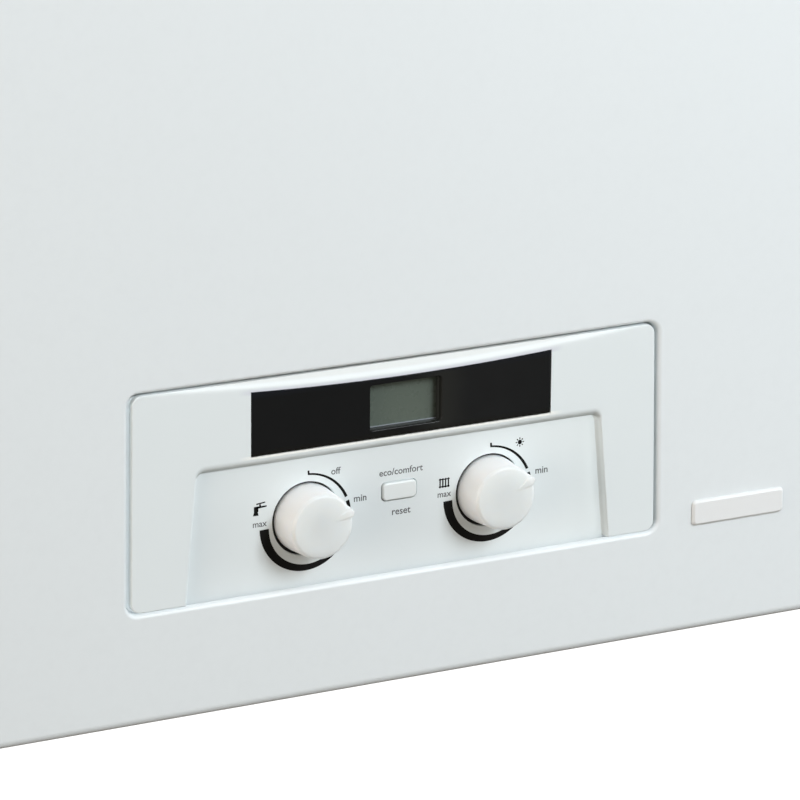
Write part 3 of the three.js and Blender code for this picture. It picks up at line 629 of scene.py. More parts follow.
def panel_painted_light(f):
    """Painted light and shade in the panel's colour: painted shade in the corner under the round step, on the deeper
    part of the recess's right wall and at the foot of the slope beside the strip;
    painted highlights on the edges beside the strip and in a band on the slope; the upper slope toned darker as painted
    shade, and the recess floor painted lighter towards the right and darker in its middle."""
    x, y, z = f.axes()
    up = lambda v: (PZ + v - 690) / 1000
    across = lambda v: (PX + v) / 1000
    deep = f.ramp(y, -0.30995, -0.3094)
    width = f.times(f.ramp(x, across(-97.5), across(-96)), f.ramp(x, across(97.5), across(96)))
    # painted shade in the corner under the round step and on the floor just below it
    f.tint(f.times(deep, width, f.ramp(z, up(12.9), up(9.05)), f.ramp(z, up(7.9), up(9.05))), (0.46, 0.486, 0.48), 1.0, 0.0, 1.0)
    under = f.times(f.ramp(x, across(-75), across(-68)), f.ramp(x, across(75), across(68)))
    # painted highlight on the edge just below the strip and on the face beside its ends
    f.tint(f.times(under, f.ramp(z, up(12.5), up(12.9)), f.ramp(z, up(14.4), up(14.0))), (0.90, 0.91, 0.875), 1.0, 0.0, 1.0)
    floor_ = f.ramp(y, -0.3062, -0.3053)
    # the recess floor painted lighter towards the right and darker in its middle, as painted light and shade
    f.tint(f.times(floor_, f.ramp(x, across(35), across(80))), (0.788, 0.838, 0.842), 1.0, 0.0, 1.0)
    f.tint(f.times(floor_, f.ramp(x, across(-70), across(-20)), f.ramp(x, across(50), across(20))), (0.73, 0.776, 0.784), 1.0, 0.0, 1.0)
    # painted shade on the deeper part of the recess's right wall
    wall = f.new("ShaderNodeMath", operation="MULTIPLY_ADD")
    f.link(z, wall.inputs[0])
    wall.inputs[1].default_value = 0.0907
    f.link(x, wall.inputs[2])
    edge = across(93.9) + 0.0907 * up(7.7)
    near = f.ramp(wall.outputs[0], edge - 0.0008, edge - 0.0006)
    f.tint(f.times(near, f.ramp(z, up(10), up(8.5)), f.ramp(y, -0.3082, -0.3054)), (0.60, 0.634, 0.636), 1.0, 0.0, 1.0)
    # height over the strip's arched upper edge
    square = f.times(x, x)
    curve = f.new("ShaderNodeMath", operation="MULTIPLY_ADD")
    f.link(square, curve.inputs[0])
    curve.inputs[1].default_value = -0.405
    f.link(z, curve.inputs[2])
    h = curve.outputs[0]
    low = up(38.75)
    # painted on the slope over the strip: the upper part toned darker as painted shade, a painted highlight band, and
    # painted shade at its foot beside the strip
    f.tint(f.ramp(h, low + 0.0027, low + 0.0038), (0.745, 0.774, 0.768), 1.0, 0.0, 1.0)
    f.tint(f.times(f.ramp(h, low + 0.0041, low + 0.0030), f.ramp(h, low + 0.0010, low + 0.0021)), (0.822, 0.868, 0.876), 1.0, 0.0, 1.0)
    f.tint(f.times(under, f.ramp(h, low + 0.0018, low + 0.0003), f.ramp(h, low - 0.0015, low - 0.0005)), (0.64, 0.66, 0.72), 1.0, 0.0, 1.0)


def galvanised(name, color=(0.56, 0.58, 0.59)):
    f = Finish(name, color, 0.42, metal=1.0)
    f.tint(f.cells(150), scaled(color, 0.86), 0.7, 0.2, 0.8)
    f.tint(f.noise(30, 4.0), scaled(color, 1.12), 0.6, 0.4, 0.7)
    f.tint(f.noise(7, 5.0), (0.50, 0.51, 0.52), 0.25, 0.5, 0.8)
    f.patchy(f.cells(150), 0.42, 0.54)
    f.bump(f.noise(1200, 3.0), 0.000006)
    f.bump(f.noise(9, 2.0), 0.00012)
    return f.m


def brushed(name, color, rough=0.32, stretch=(1, 1, 0.03), scale=2600):
    f = Finish(name, color, rough, metal=1.0)
    g = f.noise(scale, 4.0, stretch=stretch)
    f.tint(g, scaled(color, 0.86), 0.7, 0.4, 0.7)
    f.tint(f.noise(12, 4.0), scaled(color, 1.08), 0.5, 0.45, 0.7)
    f.patchy(g, rough - 0.07, rough + 0.1)
    f.bump(g, 0.0000035)
    return f.m


def cast(name, color, rough=0.5, metal=1.0, grain=1.0, dark=0.72):
    f = Finish(name, color, rough, metal=metal)
    f.tint(f.noise(300, 5.0, rough=0.65), scaled(color, dark), 0.8, 0.45, 0.7)
    f.tint(f.noise(24, 4.0), scaled(color, 1.1), 0.6, 0.5, 0.75)
    f.patchy(f.noise(240, 4.0), rough - 0.1, rough + 0.12)
    f.bump(f.noise(1100, 4.0), 0.000035 * grain)
    f.bump(f.noise(260, 3.0), 0.00005 * grain)
    return f.m


def copper(name):
    color = (0.80, 0.36, 0.20)
    f = Finish(name, color, 0.28, metal=1.0)
    f.tint(f.noise(60, 5.0), (0.52, 0.22, 0.13), 0.55, 0.45, 0.75)
    f.tint(f.noise(14, 5.0, distort=0.5), (0.86, 0.47, 0.28), 0.6, 0.45, 0.7)
    f.tint(f.noise(420, 3.0), (0.36, 0.17, 0.11), 0.25, 0.6, 0.8)
    f.patchy(f.noise(80, 4.0), 0.22, 0.42)
    f.bump(f.noise(1500, 3.0), 0.000004)
    return f.m


def glossy(name, color, rough, spec=0.5, coat=0.0):
    f = Finish(name, color, rough, spec=spec, coat=coat, coat_rough=0.05)
    f.tint(f.noise(40, 3.0), scaled(color, 1.35), 0.5, 0.45, 0.75)
    f.patchy(f.noise(300, 3.0), max(0.03, rough - 0.03), rough + 0.04)
    f.bump(f.noise(700, 2.0), 0.0000012)
    return f.m


WHITE = (0.755, 0.793, 0.806)
MAT = {
    "paint": painted("casing_paint", WHITE, 0.42),
    "fascia": moulded("fascia_plastic", (0.752, 0.80, 0.808), 0.46, tones=panel_painted_light),
    # the knobs' sides are painted a lighter colour than their faces, as painted light
    "knob": moulded("knob_plastic", (0.765, 0.795, 0.79), 0.36, 0.7, glow=0.85, front=(0.95, 0.95, 0.94)),
    "key": moulded("key_plastic", (0.775, 0.81, 0.805), 0.36, 0.7),
    "badge": moulded("badge_plastic", (0.80, 0.81, 0.81), 0.34, 0.7),
    "bezel": moulded("display_bezel", (0.042, 0.046, 0.043), 0.4),
    "ledge": moulded("display_ledge", (0.235, 0.262, 0.285), 0.45),
    "ink": moulded("print_ink", (0.007, 0.0068, 0.0065), 0.6, 0.3, spec=0.12),
    "grey_ink": moulded("print_ink_fine", (0.125, 0.127, 0.132), 0.6, 0.3, spec=0.2),
    "galv": galvanised("galvanised_steel"),
    "steel": brushed("stainless_steel", (0.60, 0.61, 0.62)),
    "screw": brushed("screw_steel", (0.63, 0.64, 0.65), 0.3, (1, 1, 1), 900),
    "copper": copper("copper_pipe"),
    "brass": cast("brass_cast", (0.70, 0.50, 0.22), 0.38, grain=0.35, dark=0.85),
    "alu": cast("aluminium_cast", (0.66, 0.67, 0.68), 0.42, grain=0.6, dark=0.86),
    "black": moulded("black_plastic", (0.022, 0.022, 0.024), 0.5, 1.6),
    "grey": moulded("grey_plastic", (0.16, 0.168, 0.175), 0.52, 1.6),
    "red": moulded("red_plastic", (0.50, 0.022, 0.015), 0.42, 1.2),
    "blue": moulded("blue_plastic", (0.02, 0.10, 0.36), 0.42, 1.2),
    "vessel": painted("vessel_red", (0.42, 0.018, 0.012), 0.34, 1.4),
    "motor": cast("motor_casting", (0.055, 0.058, 0.062), 0.48, metal=0.0, grain=0.8, dark=0.8),
    "ceramic": cast("ceramic_board", (0.70, 0.66, 0.56), 0.9, metal=0.0, grain=1.6, dark=0.9),
    "rubber": moulded("rubber_seal", (0.018, 0.018, 0.018), 0.75, 2.0),
    "white_plastic": moulded("white_plastic", (0.70, 0.70, 0.68), 0.45, 1.2),
}


def lcd_finish():
    """Switched-off display glass: grey-green, with painted shade and light: darker towards the top, lighter to the
    lower right, and darker in a band at its right end.
    """
    f = Finish("lcd_glass", (0.105, 0.13, 0.108), 0.28, spec=0.35)
    sep = f.new("ShaderNodeSeparateXYZ")
    f.link(f.coord.outputs["Object"], sep.inputs[0])
    # painted light and shade across the glass
    f.tint(f.ramp(sep.outputs["X"], -0.014, 0.019), (0.125, 0.148, 0.122), 0.7, 0.0, 1.0)
    f.tint(f.ramp(sep.outputs["Z"], -0.583, -0.561), (0.085, 0.108, 0.092), 0.6, 0.0, 1.0)
    f.tint(f.ramp(sep.outputs["X"], 0.0125, 0.0185), (0.05, 0.06, 0.052), 0.55, 0.0, 1.0)
    f.tint(f.noise(500, 3.0), (0.09, 0.112, 0.095), 0.35, 0.4, 0.7)
    f.patchy(f.noise(200, 2.0), 0.24, 0.32)
    f.bump(f.noise(2000, 2.0), 0.000001)
    return f.m


MAT["lcd"] = lcd_finish()


def strip_finish():
    """Near-black gloss with painted light: a paler painted glow beside the display's right end, and painted
    reflections, a touch bluer along its upper edge and browner along its lower one."""
    f = Finish("strip_gloss", (0.0078, 0.0083, 0.0088), 0.2, spec=0.16)
    x, y, z = f.axes()
    # painted glow beside the display's right end
    f.tint(f.times(f.ramp(x, 0.0, 0.022), f.ramp(x, 0.085, 0.045, 0.4, 1.0)), (0.0120, 0.0126, 0.0131), 1.0, 0.0, 1.0)
    f.tint(f.times(f.ramp(x, 0.005, 0.018), f.ramp(x, 0.032, 0.020)), (0.0190, 0.0195, 0.0180), 1.0, 0.0, 1.0)
    f.tint(f.noise(60, 3.0), (0.0095, 0.0098, 0.0102), 0.4, 0.4, 0.7)
    # painted reflections along the strip's upper and lower edges
    f.tint(f.ramp(z, -0.5605, -0.5565), (0.0100, 0.0118, 0.0175), 0.9, 0.0, 1.0)
    f.tint(f.ramp(z, -0.5815, -0.5845), (0.0100, 0.0092, 0.0068), 0.9, 0.0, 1.0)
    f.patchy(f.noise(300, 3.0), 0.17, 0.25)
    f.bump(f.noise(700, 2.0), 0.0000012)
    return f.m


MAT["strip"] = strip_finish()


def board_finish():
    f = Finish("circuit_board", (0.02, 0.11, 0.045), 0.4)
    f.tint(f.cells(260, stretch=(1, 0.05, 1)), (0.05, 0.20, 0.085), 0.8, 0.55, 0.6)
    f.tint(f.noise(900, 2.0), (0.35, 0.33, 0.2), 0.5, 0.68, 0.72)
    f.patchy(f.noise(120, 3.0), 0.3, 0.5)
    f.bump(f.cells(260, stretch=(1, 0.05, 1)), 0.00003)
    return f.m


MAT["board"] = board_finish()


def glass_finish():
    f = Finish("sight_glass", (0.62, 0.72, 0.70), 0.08, spec=0.6)
    f.tint(f.noise(120, 3.0), (0.50, 0.60, 0.58), 0.6)
    f.patchy(f.noise(200, 3.0), 0.05, 0.14)
    f.bump(f.noise(300, 2.0), 0.000003)
    return f.m


MAT["glass"] = glass_finish()

# ------------------------------------------------------------------ stage
floor_mat = Finish("floor", (0.86, 0.86, 0.86), 0.8)
floor_mat.tint(floor_mat.noise(0.7, 2.0), (0.84, 0.84, 0.84), 0.6)
floor_mat.p.inputs["Emission Color"].default_value = (1, 1, 1, 1)
floor_mat.p.inputs["Emission Strength"].default_value = 0.85
floor_mesh = bpy.data.meshes.new("floor")
floor_mesh.from_pydata([(-40, -40, -1.95), (40, -40, -1.95), (40, 40, -1.95), (-40, 40, -1.95)], [], [(0, 1, 2, 3)])
floor_mesh.materials.append(floor_mat.m)
floor = bpy.data.objects.new("floor", floor_mesh)
scene.collection.objects.link(floor)
floor.visible_diffuse = False
floor.visible_glossy = False


# ------------------------------------------------------------------ casing
def skewed(points, lt, lb, rt, rb):
    """An outline of the panel's place with its corners shifted sideways (left top, left bottom, right top, right bottom)
    and its top edge rising slightly towards both ends."""
    out = []
    for u, v in points:
        s, t = min(1, max(0, (v - 46.5) / 92)), min(1, max(0, (u + 123) / 246))
        top = min(1, max(0, (v - 110) / 20))
        out.append((u + (lb + (lt - lb) * s) * (1 - t) + (rb + (rt - rb) * s) * t, v + 4.2e-5 * u * u * top))
    return out


def divided(points, step=14):
    """Adds points along the long level edges."""
    out = []
    for p, q in zip(points, points[1:] + points[:1]):
        count = max(1, round(math.dist(p, q) / step)) if abs(p[1] - q[1]) < 2 else 1
        out += [(p[0] + (q[0] - p[0]) * k / count, p[1] + (q[1] - p[1]) * k / count) for k in range(count)]
    return out


BASE = divided(rrect(OPEN_X, OPEN_Z, OPEN_W, OPEN_H, OPEN_R, 10))


def opening_loop(grow, dy):
    """The opening's outline, grown outwards. Its lip is rounded by 1.8 mm, more at the right and at the foot, where its
    rear edge lies less deep; grow and dy may be functions of that radius and that depth."""
    flat_, out = [], []
    m = len(BASE)
    for i, p in enumerate(BASE):
        d = Vector(BASE[(i + 1) % m]) - Vector(BASE[i - 1])
        n = Vector((d.y, -d.x)).normalized()
        foot, right = max(0.0, -n.y) ** 2, max(0.0, n.x) ** 2
        lip, rear = 1.8 + 0.4 * foot + 0.9 * right, 5.4 - 3.1 * foot
        g, dd = (grow(lip, rear), dy(lip, rear)) if callable(grow) else (grow, dy)
        flat_.append((p[0] + n.x * g, p[1] + n.y * g))
        out.append(dd)
    flat_ = skewed(flat_, -0.55, -1.6, -1.6, 0.0)
    return [(u, FACE + dd, v) for (u, v), dd in zip(flat_, out)]


def case_loop(inset, y):
    """The cover's outline, with a point for each of the opening's."""
    line = rrect(0, 370, 410 - 2 * inset, 740 - 2 * inset, max(0.6, 5.0 - inset), 10)
    out = []
    for i, (p, q) in enumerate(zip(line, line[1:] + line[:1])):
        a, b = OUTER_STEPS[i]
        out += [(p[0] + (q[0] - p[0]) * k / a, y, p[1] + (q[1] - p[1]) * k / a) for k in range(a)]
    return out


plain = rrect(OPEN_X, OPEN_Z, OPEN_W, OPEN_H, OPEN_R, 10)
OUTER_STEPS = [(max(1, round(math.dist(p, q) / 14)) if abs(p[1] - q[1]) < 2 else 1, 0) for p, q in zip(plain, plain[1:] + plain[:1])]


def front_cover():
    arc = [rad(90 * k / 8) for k in range(9)]
    loops = [case_loop(0, -283.0)]
    loops += [case_loop(4 * (1 - math.cos(t)), -306 - 4 * math.sin(t)) for t in arc]
    loops += [case_loop(4.7, FACE)]
    loops += [opening_loop(lambda R, D: R + 0.8, lambda R, D: 0)]
    loops += [opening_loop(lambda R, D, t=t: R * (1 - math.sin(t)), lambda R, D, t=t: R * (1 - math.cos(t))) for t in arc]
    loops += [opening_loop(lambda R, D: 0, lambda R, D: D), opening_loop(lambda R, D: 1.2, lambda R, D: D)]
    loops += [opening_loop(lambda R, D, t=t: R - (R - 1.2) * math.sin(t), lambda R, D, t=t: R - (R - 1.2) * math.cos(t)) for t in arc[::-2]]
    loops += [opening_loop(lambda R, D: R + 0.8, lambda R, D: 1.2), case_loop(4.7, -308.8)]
    loops += [case_loop(1.2 + 2.8 * (1 - math.cos(t)), -306 - 2.8 * math.sin(t)) for t in arc[::-2]]
    loops += [case_loop(1.2, -283.0)]
    shell = loft(loops, closed=True)
    return cut(shell, [rod("z", (x, -292), 2.5, -5, 5, 32) for x in (-150, 150)])


put("cover_shell", front_cover(), MAT["paint"], "front_cover", sharp=40)


def screw(x, y):
    """Pan-head screw with a cross recess, its head below the cover's bottom edge."""
    head = rounded([(0, -3.0), (2.6, -3.0), (4.6, -1.7), (4.6, -0.35), (2.0, -0.35), (2.0, 8.5), (1.0, 9.6), (0, 9.6)], [0, 1.5, 0.9, 0.2, 0, 0, 0, 0], 4, closed=False)
    body = turned(head, 48, "z", (x, y))
    cross = [block(x - 2.3, x + 2.3, y - 0.45, y + 0.45, -4, -1.9), block(x - 0.45, x + 0.45, y - 2.3, y + 2.3, -4, -1.9)]
    grooves = [ring("z", (x, y), 3.2, 1.72, h, h + 0.45, 40) for h in (1.2, 2.1, 3.0, 3.9, 4.8, 5.7, 6.6, 7.5)]
    return cut(body, cross, grooves)


put("cover_screw_l", screw(-150, -292), MAT["screw"], "cover_screw_left")
put("cover_screw_r", screw(150, -292), MAT["screw"], "cover_screw_right")


def badge():
    cx, cz = 162.4, 52.5
    loop = lambda inset, y: [(u, y, v) for u, v in rrect(cx, cz, 45.2 - 2 * inset, 11.0 - 2 * inset, 1.9 - inset * 0.6, 8)]
    loops = [loop(0.2, -310.0), loop(0, -310.2)]
    slope = [(0.0, -310.45), (0.06, -310.62), (0.17, -310.77), (0.86, -311.4), (0.98, -311.48), (1.15, -311.5)]
    return loft(loops + [loop(i, y) for i, y in slope])


put("badge_blank", badge(), MAT["badge"], "badge_plate", sharp=60)


def folded(side):
    """Side skin: a thin sheet folded inwards at its front and back edges."""
    outer = [(205, -12.3), (205, -282), (187, -282), (187, -280.8), (203.8, -280.8), (203.8, -13.5), (187, -13.5), (187, -12.3)]
    pts = rounded(outer, [2.2, 2.2, 0.3, 0.3, 1.0, 1.0, 0.3, 0.3], 5)
    return prism("z", [(side * x, y) for x, y in pts], 0.2, 739.8, 0.25, 2)


put("side_skin_left", folded(-1), MAT["paint"], "side_panel_left", sharp=40)
put("side_skin_right", folded(1), MAT["paint"], "side_panel_right", sharp=40)


def top_plate():
    pts = rounded([(-203.4, -280.4), (203.4, -280.4), (203.4, -14), (-203.4, -14)], 2, 4)
    plate = prism("z", pts, 737.8, 739, 0.2)
    apron = prism("x", rounded([(-281.9, 716), (-281.9, 739), (-270, 739), (-270, 737.8), (-280.7, 737.8), (-280.7, 716)], [0.3, 2.0, 0.3, 0.3, 0.8, 0.3], 4), -186, 186, 0.2)
    swage = ring("z", (0, FLUE_Y), 84, 80, 738.4, 740.0, 96, 0.7)
    beads = [prism("z", rrect(x, -60, 90, 8, 3.9, 8), 738.5, 740.0, 0.9, 3) for x in (-120, 0, 120)]
    return cut(join(plate, apron, swage, beads), rod("z", (0, FLUE_Y), 47.2, 730, 745, 96), [rod("z", (s * 130, FLUE_Y), 36, 730, 745, 80) for s in (-1, 1)])


put("top_sheet", top_plate(), MAT["galv"], "top_plate")


def bottom_plate():
    plate = prism("z", rounded([(-203, -280), (203, -280), (203, -14), (-203, -14)], 2, 4), 20, 21.5, 0.2)
    apron = prism("x", rounded([(-280, 1.8), (-280, 21.5), (-270, 21.5), (-270, 20), (-278.5, 20), (-278.5, 1.8)], [0.2, 1.6, 0.2, 0.2, 0.6, 0.2], 4), -186, 186, 0.2)
    tabs = [prism("z", rounded([(x - 16, -300), (x + 16, -300), (x + 16, -279), (x - 16, -279)], [3, 3, 0, 0], 4), 1.8, 3.3, 0.2) for x in (-150, 150)]
    slots = [prism("z", rounded([(x - 2.9, -304), (x + 2.9, -304), (x + 2.9, -288), (x - 2.9, -288)], [0, 0, 2.8, 2.8], 4), 0, 6) for x in (-150, 150)]
    holes = [rod("z", (x, TY), 14, 10, 30, 48) for x in TAIL.values()]
    more = [rod("z", (178, -70), 9, 10, 30, 40), rod("z", (97.5, TY), 7, 10, 30, 40), rod("z", (-172, -215), 8.5, 10, 30, 40)]
    vents = [prism("z", rrect(x, -170 + 0 * x, 5, 46, 2.4, 6), 10, 30) for x in range(-70, 71, 14)]
    return cut(join(plate, apron, tabs), slots, holes, more, vents)


put("bottom_sheet", bottom_plate(), MAT["galv"], "bottom_plate")


def back_frame():
    plate = prism("y", rrect(0, 379.5, 396, 713, 4, 5), -12, -10.5, 0.2)
    rims = [prism("z", rounded([(s * 198, -12), (s * 198, -0.5), (s * 196.5, -0.5), (s * 196.5, -10.4), (s * 190, -10.4), (s * 190, -12)], [2.0, 0.2, 0.2, 1.0, 0, 0], 4), 27, 732, 0.2) for s in (-1, 1)]
    hooks = []
    for x in (-105, 105):
        prof = rounded([(-11, 726.35), (-2.9, 726.35), (-2.9, 714.5), (-4.4, 714.5), (-4.4, 724.35), (-11, 724.35)], [0, 1.8, 0.3, 0.3, 0.6, 0], 4)
        hooks.append(prism("x", prof, x - 20, x + 20, 0.25))
    beads = [prism("y", rrect(0, z, 300, 9, 4.4, 8), -11.2, -9.1, 0.9, 3) for z in (200, 330, 460)]
    windows = [prism("y", rrect(x, z, 46, 70, 8, 8), -20, 5) for x, z in ((-105, 90), (105, 90), (-150, 640), (150, 640))]
    lips = [cut(prism("y", rrect(x, z, 50, 74, 10, 8), -12.6, -10.0, 0.6, 3), prism("y", rrect(x, z, 46, 70, 8, 8), -20, 5)) for x, z in ((-105, 90), (105, 90), (-150, 640), (150, 640))]
    small = [rod("y", (x, z), 3.2, -20, 0, 24) for x in (-180, 180) for z in (60, 260, 440, 560, 715)]
    return cut(join(plate, rims, hooks, beads, lips), windows, small)


put("rear_tray", back_frame(), MAT["galv"], "back_frame")


def wall_bracket():
    prof = rounded([(0, 668), (0, 712), (-5.5, 712), (-5.5, 724), (-8, 724), (-8, 709.5), (-2.5, 709.5), (-2.5, 668)], [0.4, 2.4, 0.5, 0.8, 0.8, 2.4, 0.5, 0.4], 4)
    rail = prism("x", prof, -150, 150, 0.3)
    holes = [rod("y", (x, 684), 4.5, -5, 2, 32) for x in (-120, -60, 60, 120)]
    slots = [prism("y", rrect(x, 684, 22, 7, 3.4, 8), -6, 2) for x in (-90, 0, 90)]
    return cut(rail, holes, slots)


put("hanging_rail", wall_bracket(), MAT["galv"], "wall_bracket")


def turret():
    y, z = FLUE_Y, 739.3
    base = turned(rounded([(47.5, z), (70, z), (70, z + 3), (50, z + 3), (50, z + 50), (55, z + 50), (55, z + 56), (47.5, z + 56)], [0.2, 0.6, 0.6, 1.6, 1.6, 0.8, 0.8, 0.3], 4), 128, "z", (0, y))
    heads = [turned(rounded([(0, z + 2.5), (3.4, z + 2.5), (3.4, z + 4.6), (0, z + 4.9)], [0, 0, 0.9, 0], 3, closed=False), 32, "z", (63 * math.cos(t), y + 63 * math.sin(t))) for t in (rad(45), rad(135), rad(225), rad(315))]
    return join(base, heads)


put("flue_collar", turret(), MAT["paint"], "flue_turret")
put("collar_seal", turned(rounded([(47.6, 791.0), (49.6, 791.0), (49.6, 793.2), (47.6, 793.2)], 0.5, 3), 96, "z", (0, FLUE_Y), 0), MAT["rubber"], body="chassis")

for side, node in ((-1, "air_inlet_cap_left"), (1, "air_inlet_cap_right")):
    z, x = 739.3, side * 130
    prof = rounded([(0, z), (46, z), (46, z + 1.4), (39, z + 1.9), (37, z + 5.4), (33, z + 6), (0, z + 6)], [0, 0.3, 0.6, 1.5, 1.5, 2.0, 0], 4, closed=False)
    cap = turned(prof, 112, "z", (x, FLUE_Y))
    heads = [turned(rounded([(0, z + 1.0), (3.0, z + 1.0), (3.0, z + 3.6), (0, z + 3.9)], [0, 0, 0.9, 0], 3, closed=False), 32, "z", (x + 42 * math.cos(t), FLUE_Y + 42 * math.sin(t))) for t in (rad(30), rad(210))]
    crosses = [block(x + 42 * math.cos(t) - 1.8, x + 42 * math.cos(t) + 1.8, FLUE_Y + 42 * math.sin(t) - 0.4, FLUE_Y + 42 * math.sin(t) + 0.4, z + 3, z + 6) for t in (rad(30), rad(210))]
    put(node.replace("air_inlet_cap", "inlet_cover"), cut(join(cap, heads), crosses), MAT["paint"], node)


# ------------------------------------------------------------------ control panel
def P(x, z):
    return PX + x, PZ + z


def arc_z(x, lift=0.0):
    return 38.75 + 0.000405 * x * x + lift


def half(z):
    return 93.9 + (7.7 - z) * 0.0907


def recess_tool():
    """The recess's shape: a trapezoid with soft side edges and a wide round under the display strip."""
    zt, zb = 9.05, -60.0
    corners = [(-(half(zb) - 0.8), zb), (half(zb) - 0.45, zb), (half(zt) - 0.45, zt), (-(half(zt) - 0.8), zt)]
    line = rounded(corners, [0, 0, 3.4, 3.4], 10)
    dense = []
    for i, p in enumerate(line):
        q = line[(i + 1) % len(line)]
        d = math.dist(p, q)
        steps = max(1, int(d // 12))
        dense += [(p[0] + (q[0] - p[0]) * k / steps, p[1] + (q[1] - p[1]) * k / steps) for k in range(steps)]
    m = len(dense)
    normals, radius = [], []
    for i in range(m):
        p0, p1, p2 = Vector(dense[i - 1]), Vector(dense[i]), Vector(dense[(i + 1) % m])
        n = Vector(((p2 - p0).y, -(p2 - p0).x)).normalized()
        normals.append(n)
        up = max(0.0, n.y)
        radius.append((1.7 if n.x < 0 else 0.5) * (1 - up * up) + 4.15 * up * up)

    def loop(out, y):
        return [(PX + p[0] + n.x * o, yy, PZ + p[1] + n.y * o) for p, n, o, yy in zip(dense, normals, out, y)]

    lean = [0.25 * max(0.0, n.x) ** 2 for n in normals]
    loops = [loop(radius, [FACE - 3] * m)]
    for k in range(9):
        t = rad(90 * k / 8)
        loops.append(loop([r * (1 - math.sin(t)) for r in radius], [FACE + r * (1 - math.cos(t)) for r in radius]))
    for k in range(4):
        s = rad(90 * k / 3)
        loops.append(loop([-a - 0.4 * (1 - math.cos(s)) for a in lean], [FLOOR_Y - 0.4 + 0.4 * math.sin(s)] * m))
    return loft(loops)


def fascia():
    body = [("in", 0.6, -301.0), ("in", 0.0, -301.6)]
    edge = lambda i, y: [(u, y, v) for u, v in skewed(divided(rrect(FAS_X, FAS_Z, FAS_W - 2 * i, FAS_H - 2 * i, 4.3 - i, 10)), 0.0, -1.0, -1.9, -0.3)]
    loops = [edge(i, y) for _, i, y in body]
    for k in range(7):
        t = rad(90 * k / 6)
        loops.append(edge(0.55 * (1 - math.cos(t)), FACE + 0.55 - 0.55 * math.sin(t)))
    plate = loft(loops)
    flange = prism("y", rrect(0, 92.3, 256, 102, 6, 6), -304.3, -301.2, 0.2)
    apron = block(PX - half(-47) - 2, PX + half(-47) + 2, FLOOR_Y, -301.3, 43.0, 52.0)
    pocket_line = [(69.3, 13.6)] + [(x, arc_z(x, 0.12)) for x in (69.3 - 138.6 * k / 24 for k in range(25))] + [(-69.3, 13.6)]
    pocket = prism("y", [P(*p) for p in pocket_line], FACE - 3, FACE + 2.3)
    window = block(PX - 16.5, PX + 19.2, FACE - 1, FACE + 12, PZ + 16.0, PZ + 37.6)
    slope_line = [(x, arc_z(x)) for x in (125 - 250 * k / 48 for k in range(49))] + [(-125, 120), (125, 120)]
    bend, tilt = 10.5, math.atan(1 / 3.9)      # the slope leaves the front in a soft bend
    steps = [(-4.0, 0.0)] + [(bend * (1 - math.cos(tilt * k / 6)), bend * math.sin(tilt * k / 6)) for k in range(7)]
    steps.append((10.0, steps[-1][1] + 3.9 * (10.0 - steps[-1][0])))
    slope = loft([[(PX + x, FACE + d, PZ + z + rise) for x, z in slope_line] for d, rise in steps])
    hole = prism("y", rrect(*P(0.95, -11.1), 16.5, 8.3, 2.2, 8), FACE, FACE + 12)
    wells = [rod("y", P(kx - 0.12, KNOB_Z - 0.2), 15.55, FACE, FACE + 7.4, 96) for kx, _ in KNOBS.values()]
    shafts = [rod("y", P(kx, KNOB_Z), 3.6, FACE, FACE + 12, 32) for kx, _ in KNOBS.values()]
    ledge = loft([[(u, y, v) for u, v in skewed(divided(rrect(FAS_X, FAS_Z, FAS_W - 0.8, FAS_H - 0.8, 4.0, 10)), -1.75, -2.75, -1.9, -0.3)]
                  for y in (FACE + 2.6, -301.4)])
    return cut(join(plate, flange, apron, ledge), recess_tool(), pocket, window, slope, hole, shafts, wells)


put("fascia_moulding", fascia(), MAT["fascia"], "panel_fascia", sharp=20)
# black rings at the bottom of the knobs' wells stand in for the shade in the gaps round the knobs
put("knob_well_shade_rings", gather([ring("y", P(kx - 0.12, KNOB_Z - 0.2), 15.5, 5.0, FACE + 6.75, FACE + 7.45, 96, 0.15) for kx, _ in KNOBS.values()]), MAT["rubber"], body="chassis")


def strip():
    line = [(69, 13.9)] + [(x, arc_z(x, -0.1)) for x in (69 - 138 * k / 32 for k in range(33))] + [(-69, 13.9)]
    body = prism("y", [P(*p) for p in rounded(line, 0.35, 2)], FACE + 0.02, FACE + 2, 0.18, 2)
    w, h = 32.7, 18.8
    cx, cz = P(1.35, 26.8)
    loops = []
    for g, y in ((0.55, FACE - 1), (0.55, FACE + 0.02), (0.2, FACE + 0.25), (0.0, FACE + 0.6), (0.0, FACE + 4)):
        loops.append([(u, y, v) for u, v in rrect(cx, cz, w + 2 * g, h + 2 * g, 1.2 + g, 8)])
    return cut(body, loft(loops))


put("strip_lens", strip(), MAT["strip"], "display_strip")


def lcd():
    cx, cz = P(1.35, 26.8)
    frame_ = cut(block(PX - 16.2, PX + 18.9, -307.6, -300.0, PZ + 16.3, PZ + 37.3, 0.3),
                 prism("y", rrect(cx, cz, 32.9, 19.0, 1.0, 8), -309, -305.3))
    glass = prism("y", rrect(cx, cz, 32.7, 18.8, 0.9, 8), -305.5, -305.2, 0.1)
    return frame_, glass


bezel, glass = lcd()
put("display_housing", bezel, MAT["bezel"], "lcd_module")
put("display_ledge", block(PX - 14.8, PX + 17.5, -305.9, -305.45, PZ + 17.35, PZ + 17.8, 0.1), MAT["ledge"], body="chassis")
put("display_glass", glass, MAT["lcd"], body="chassis")


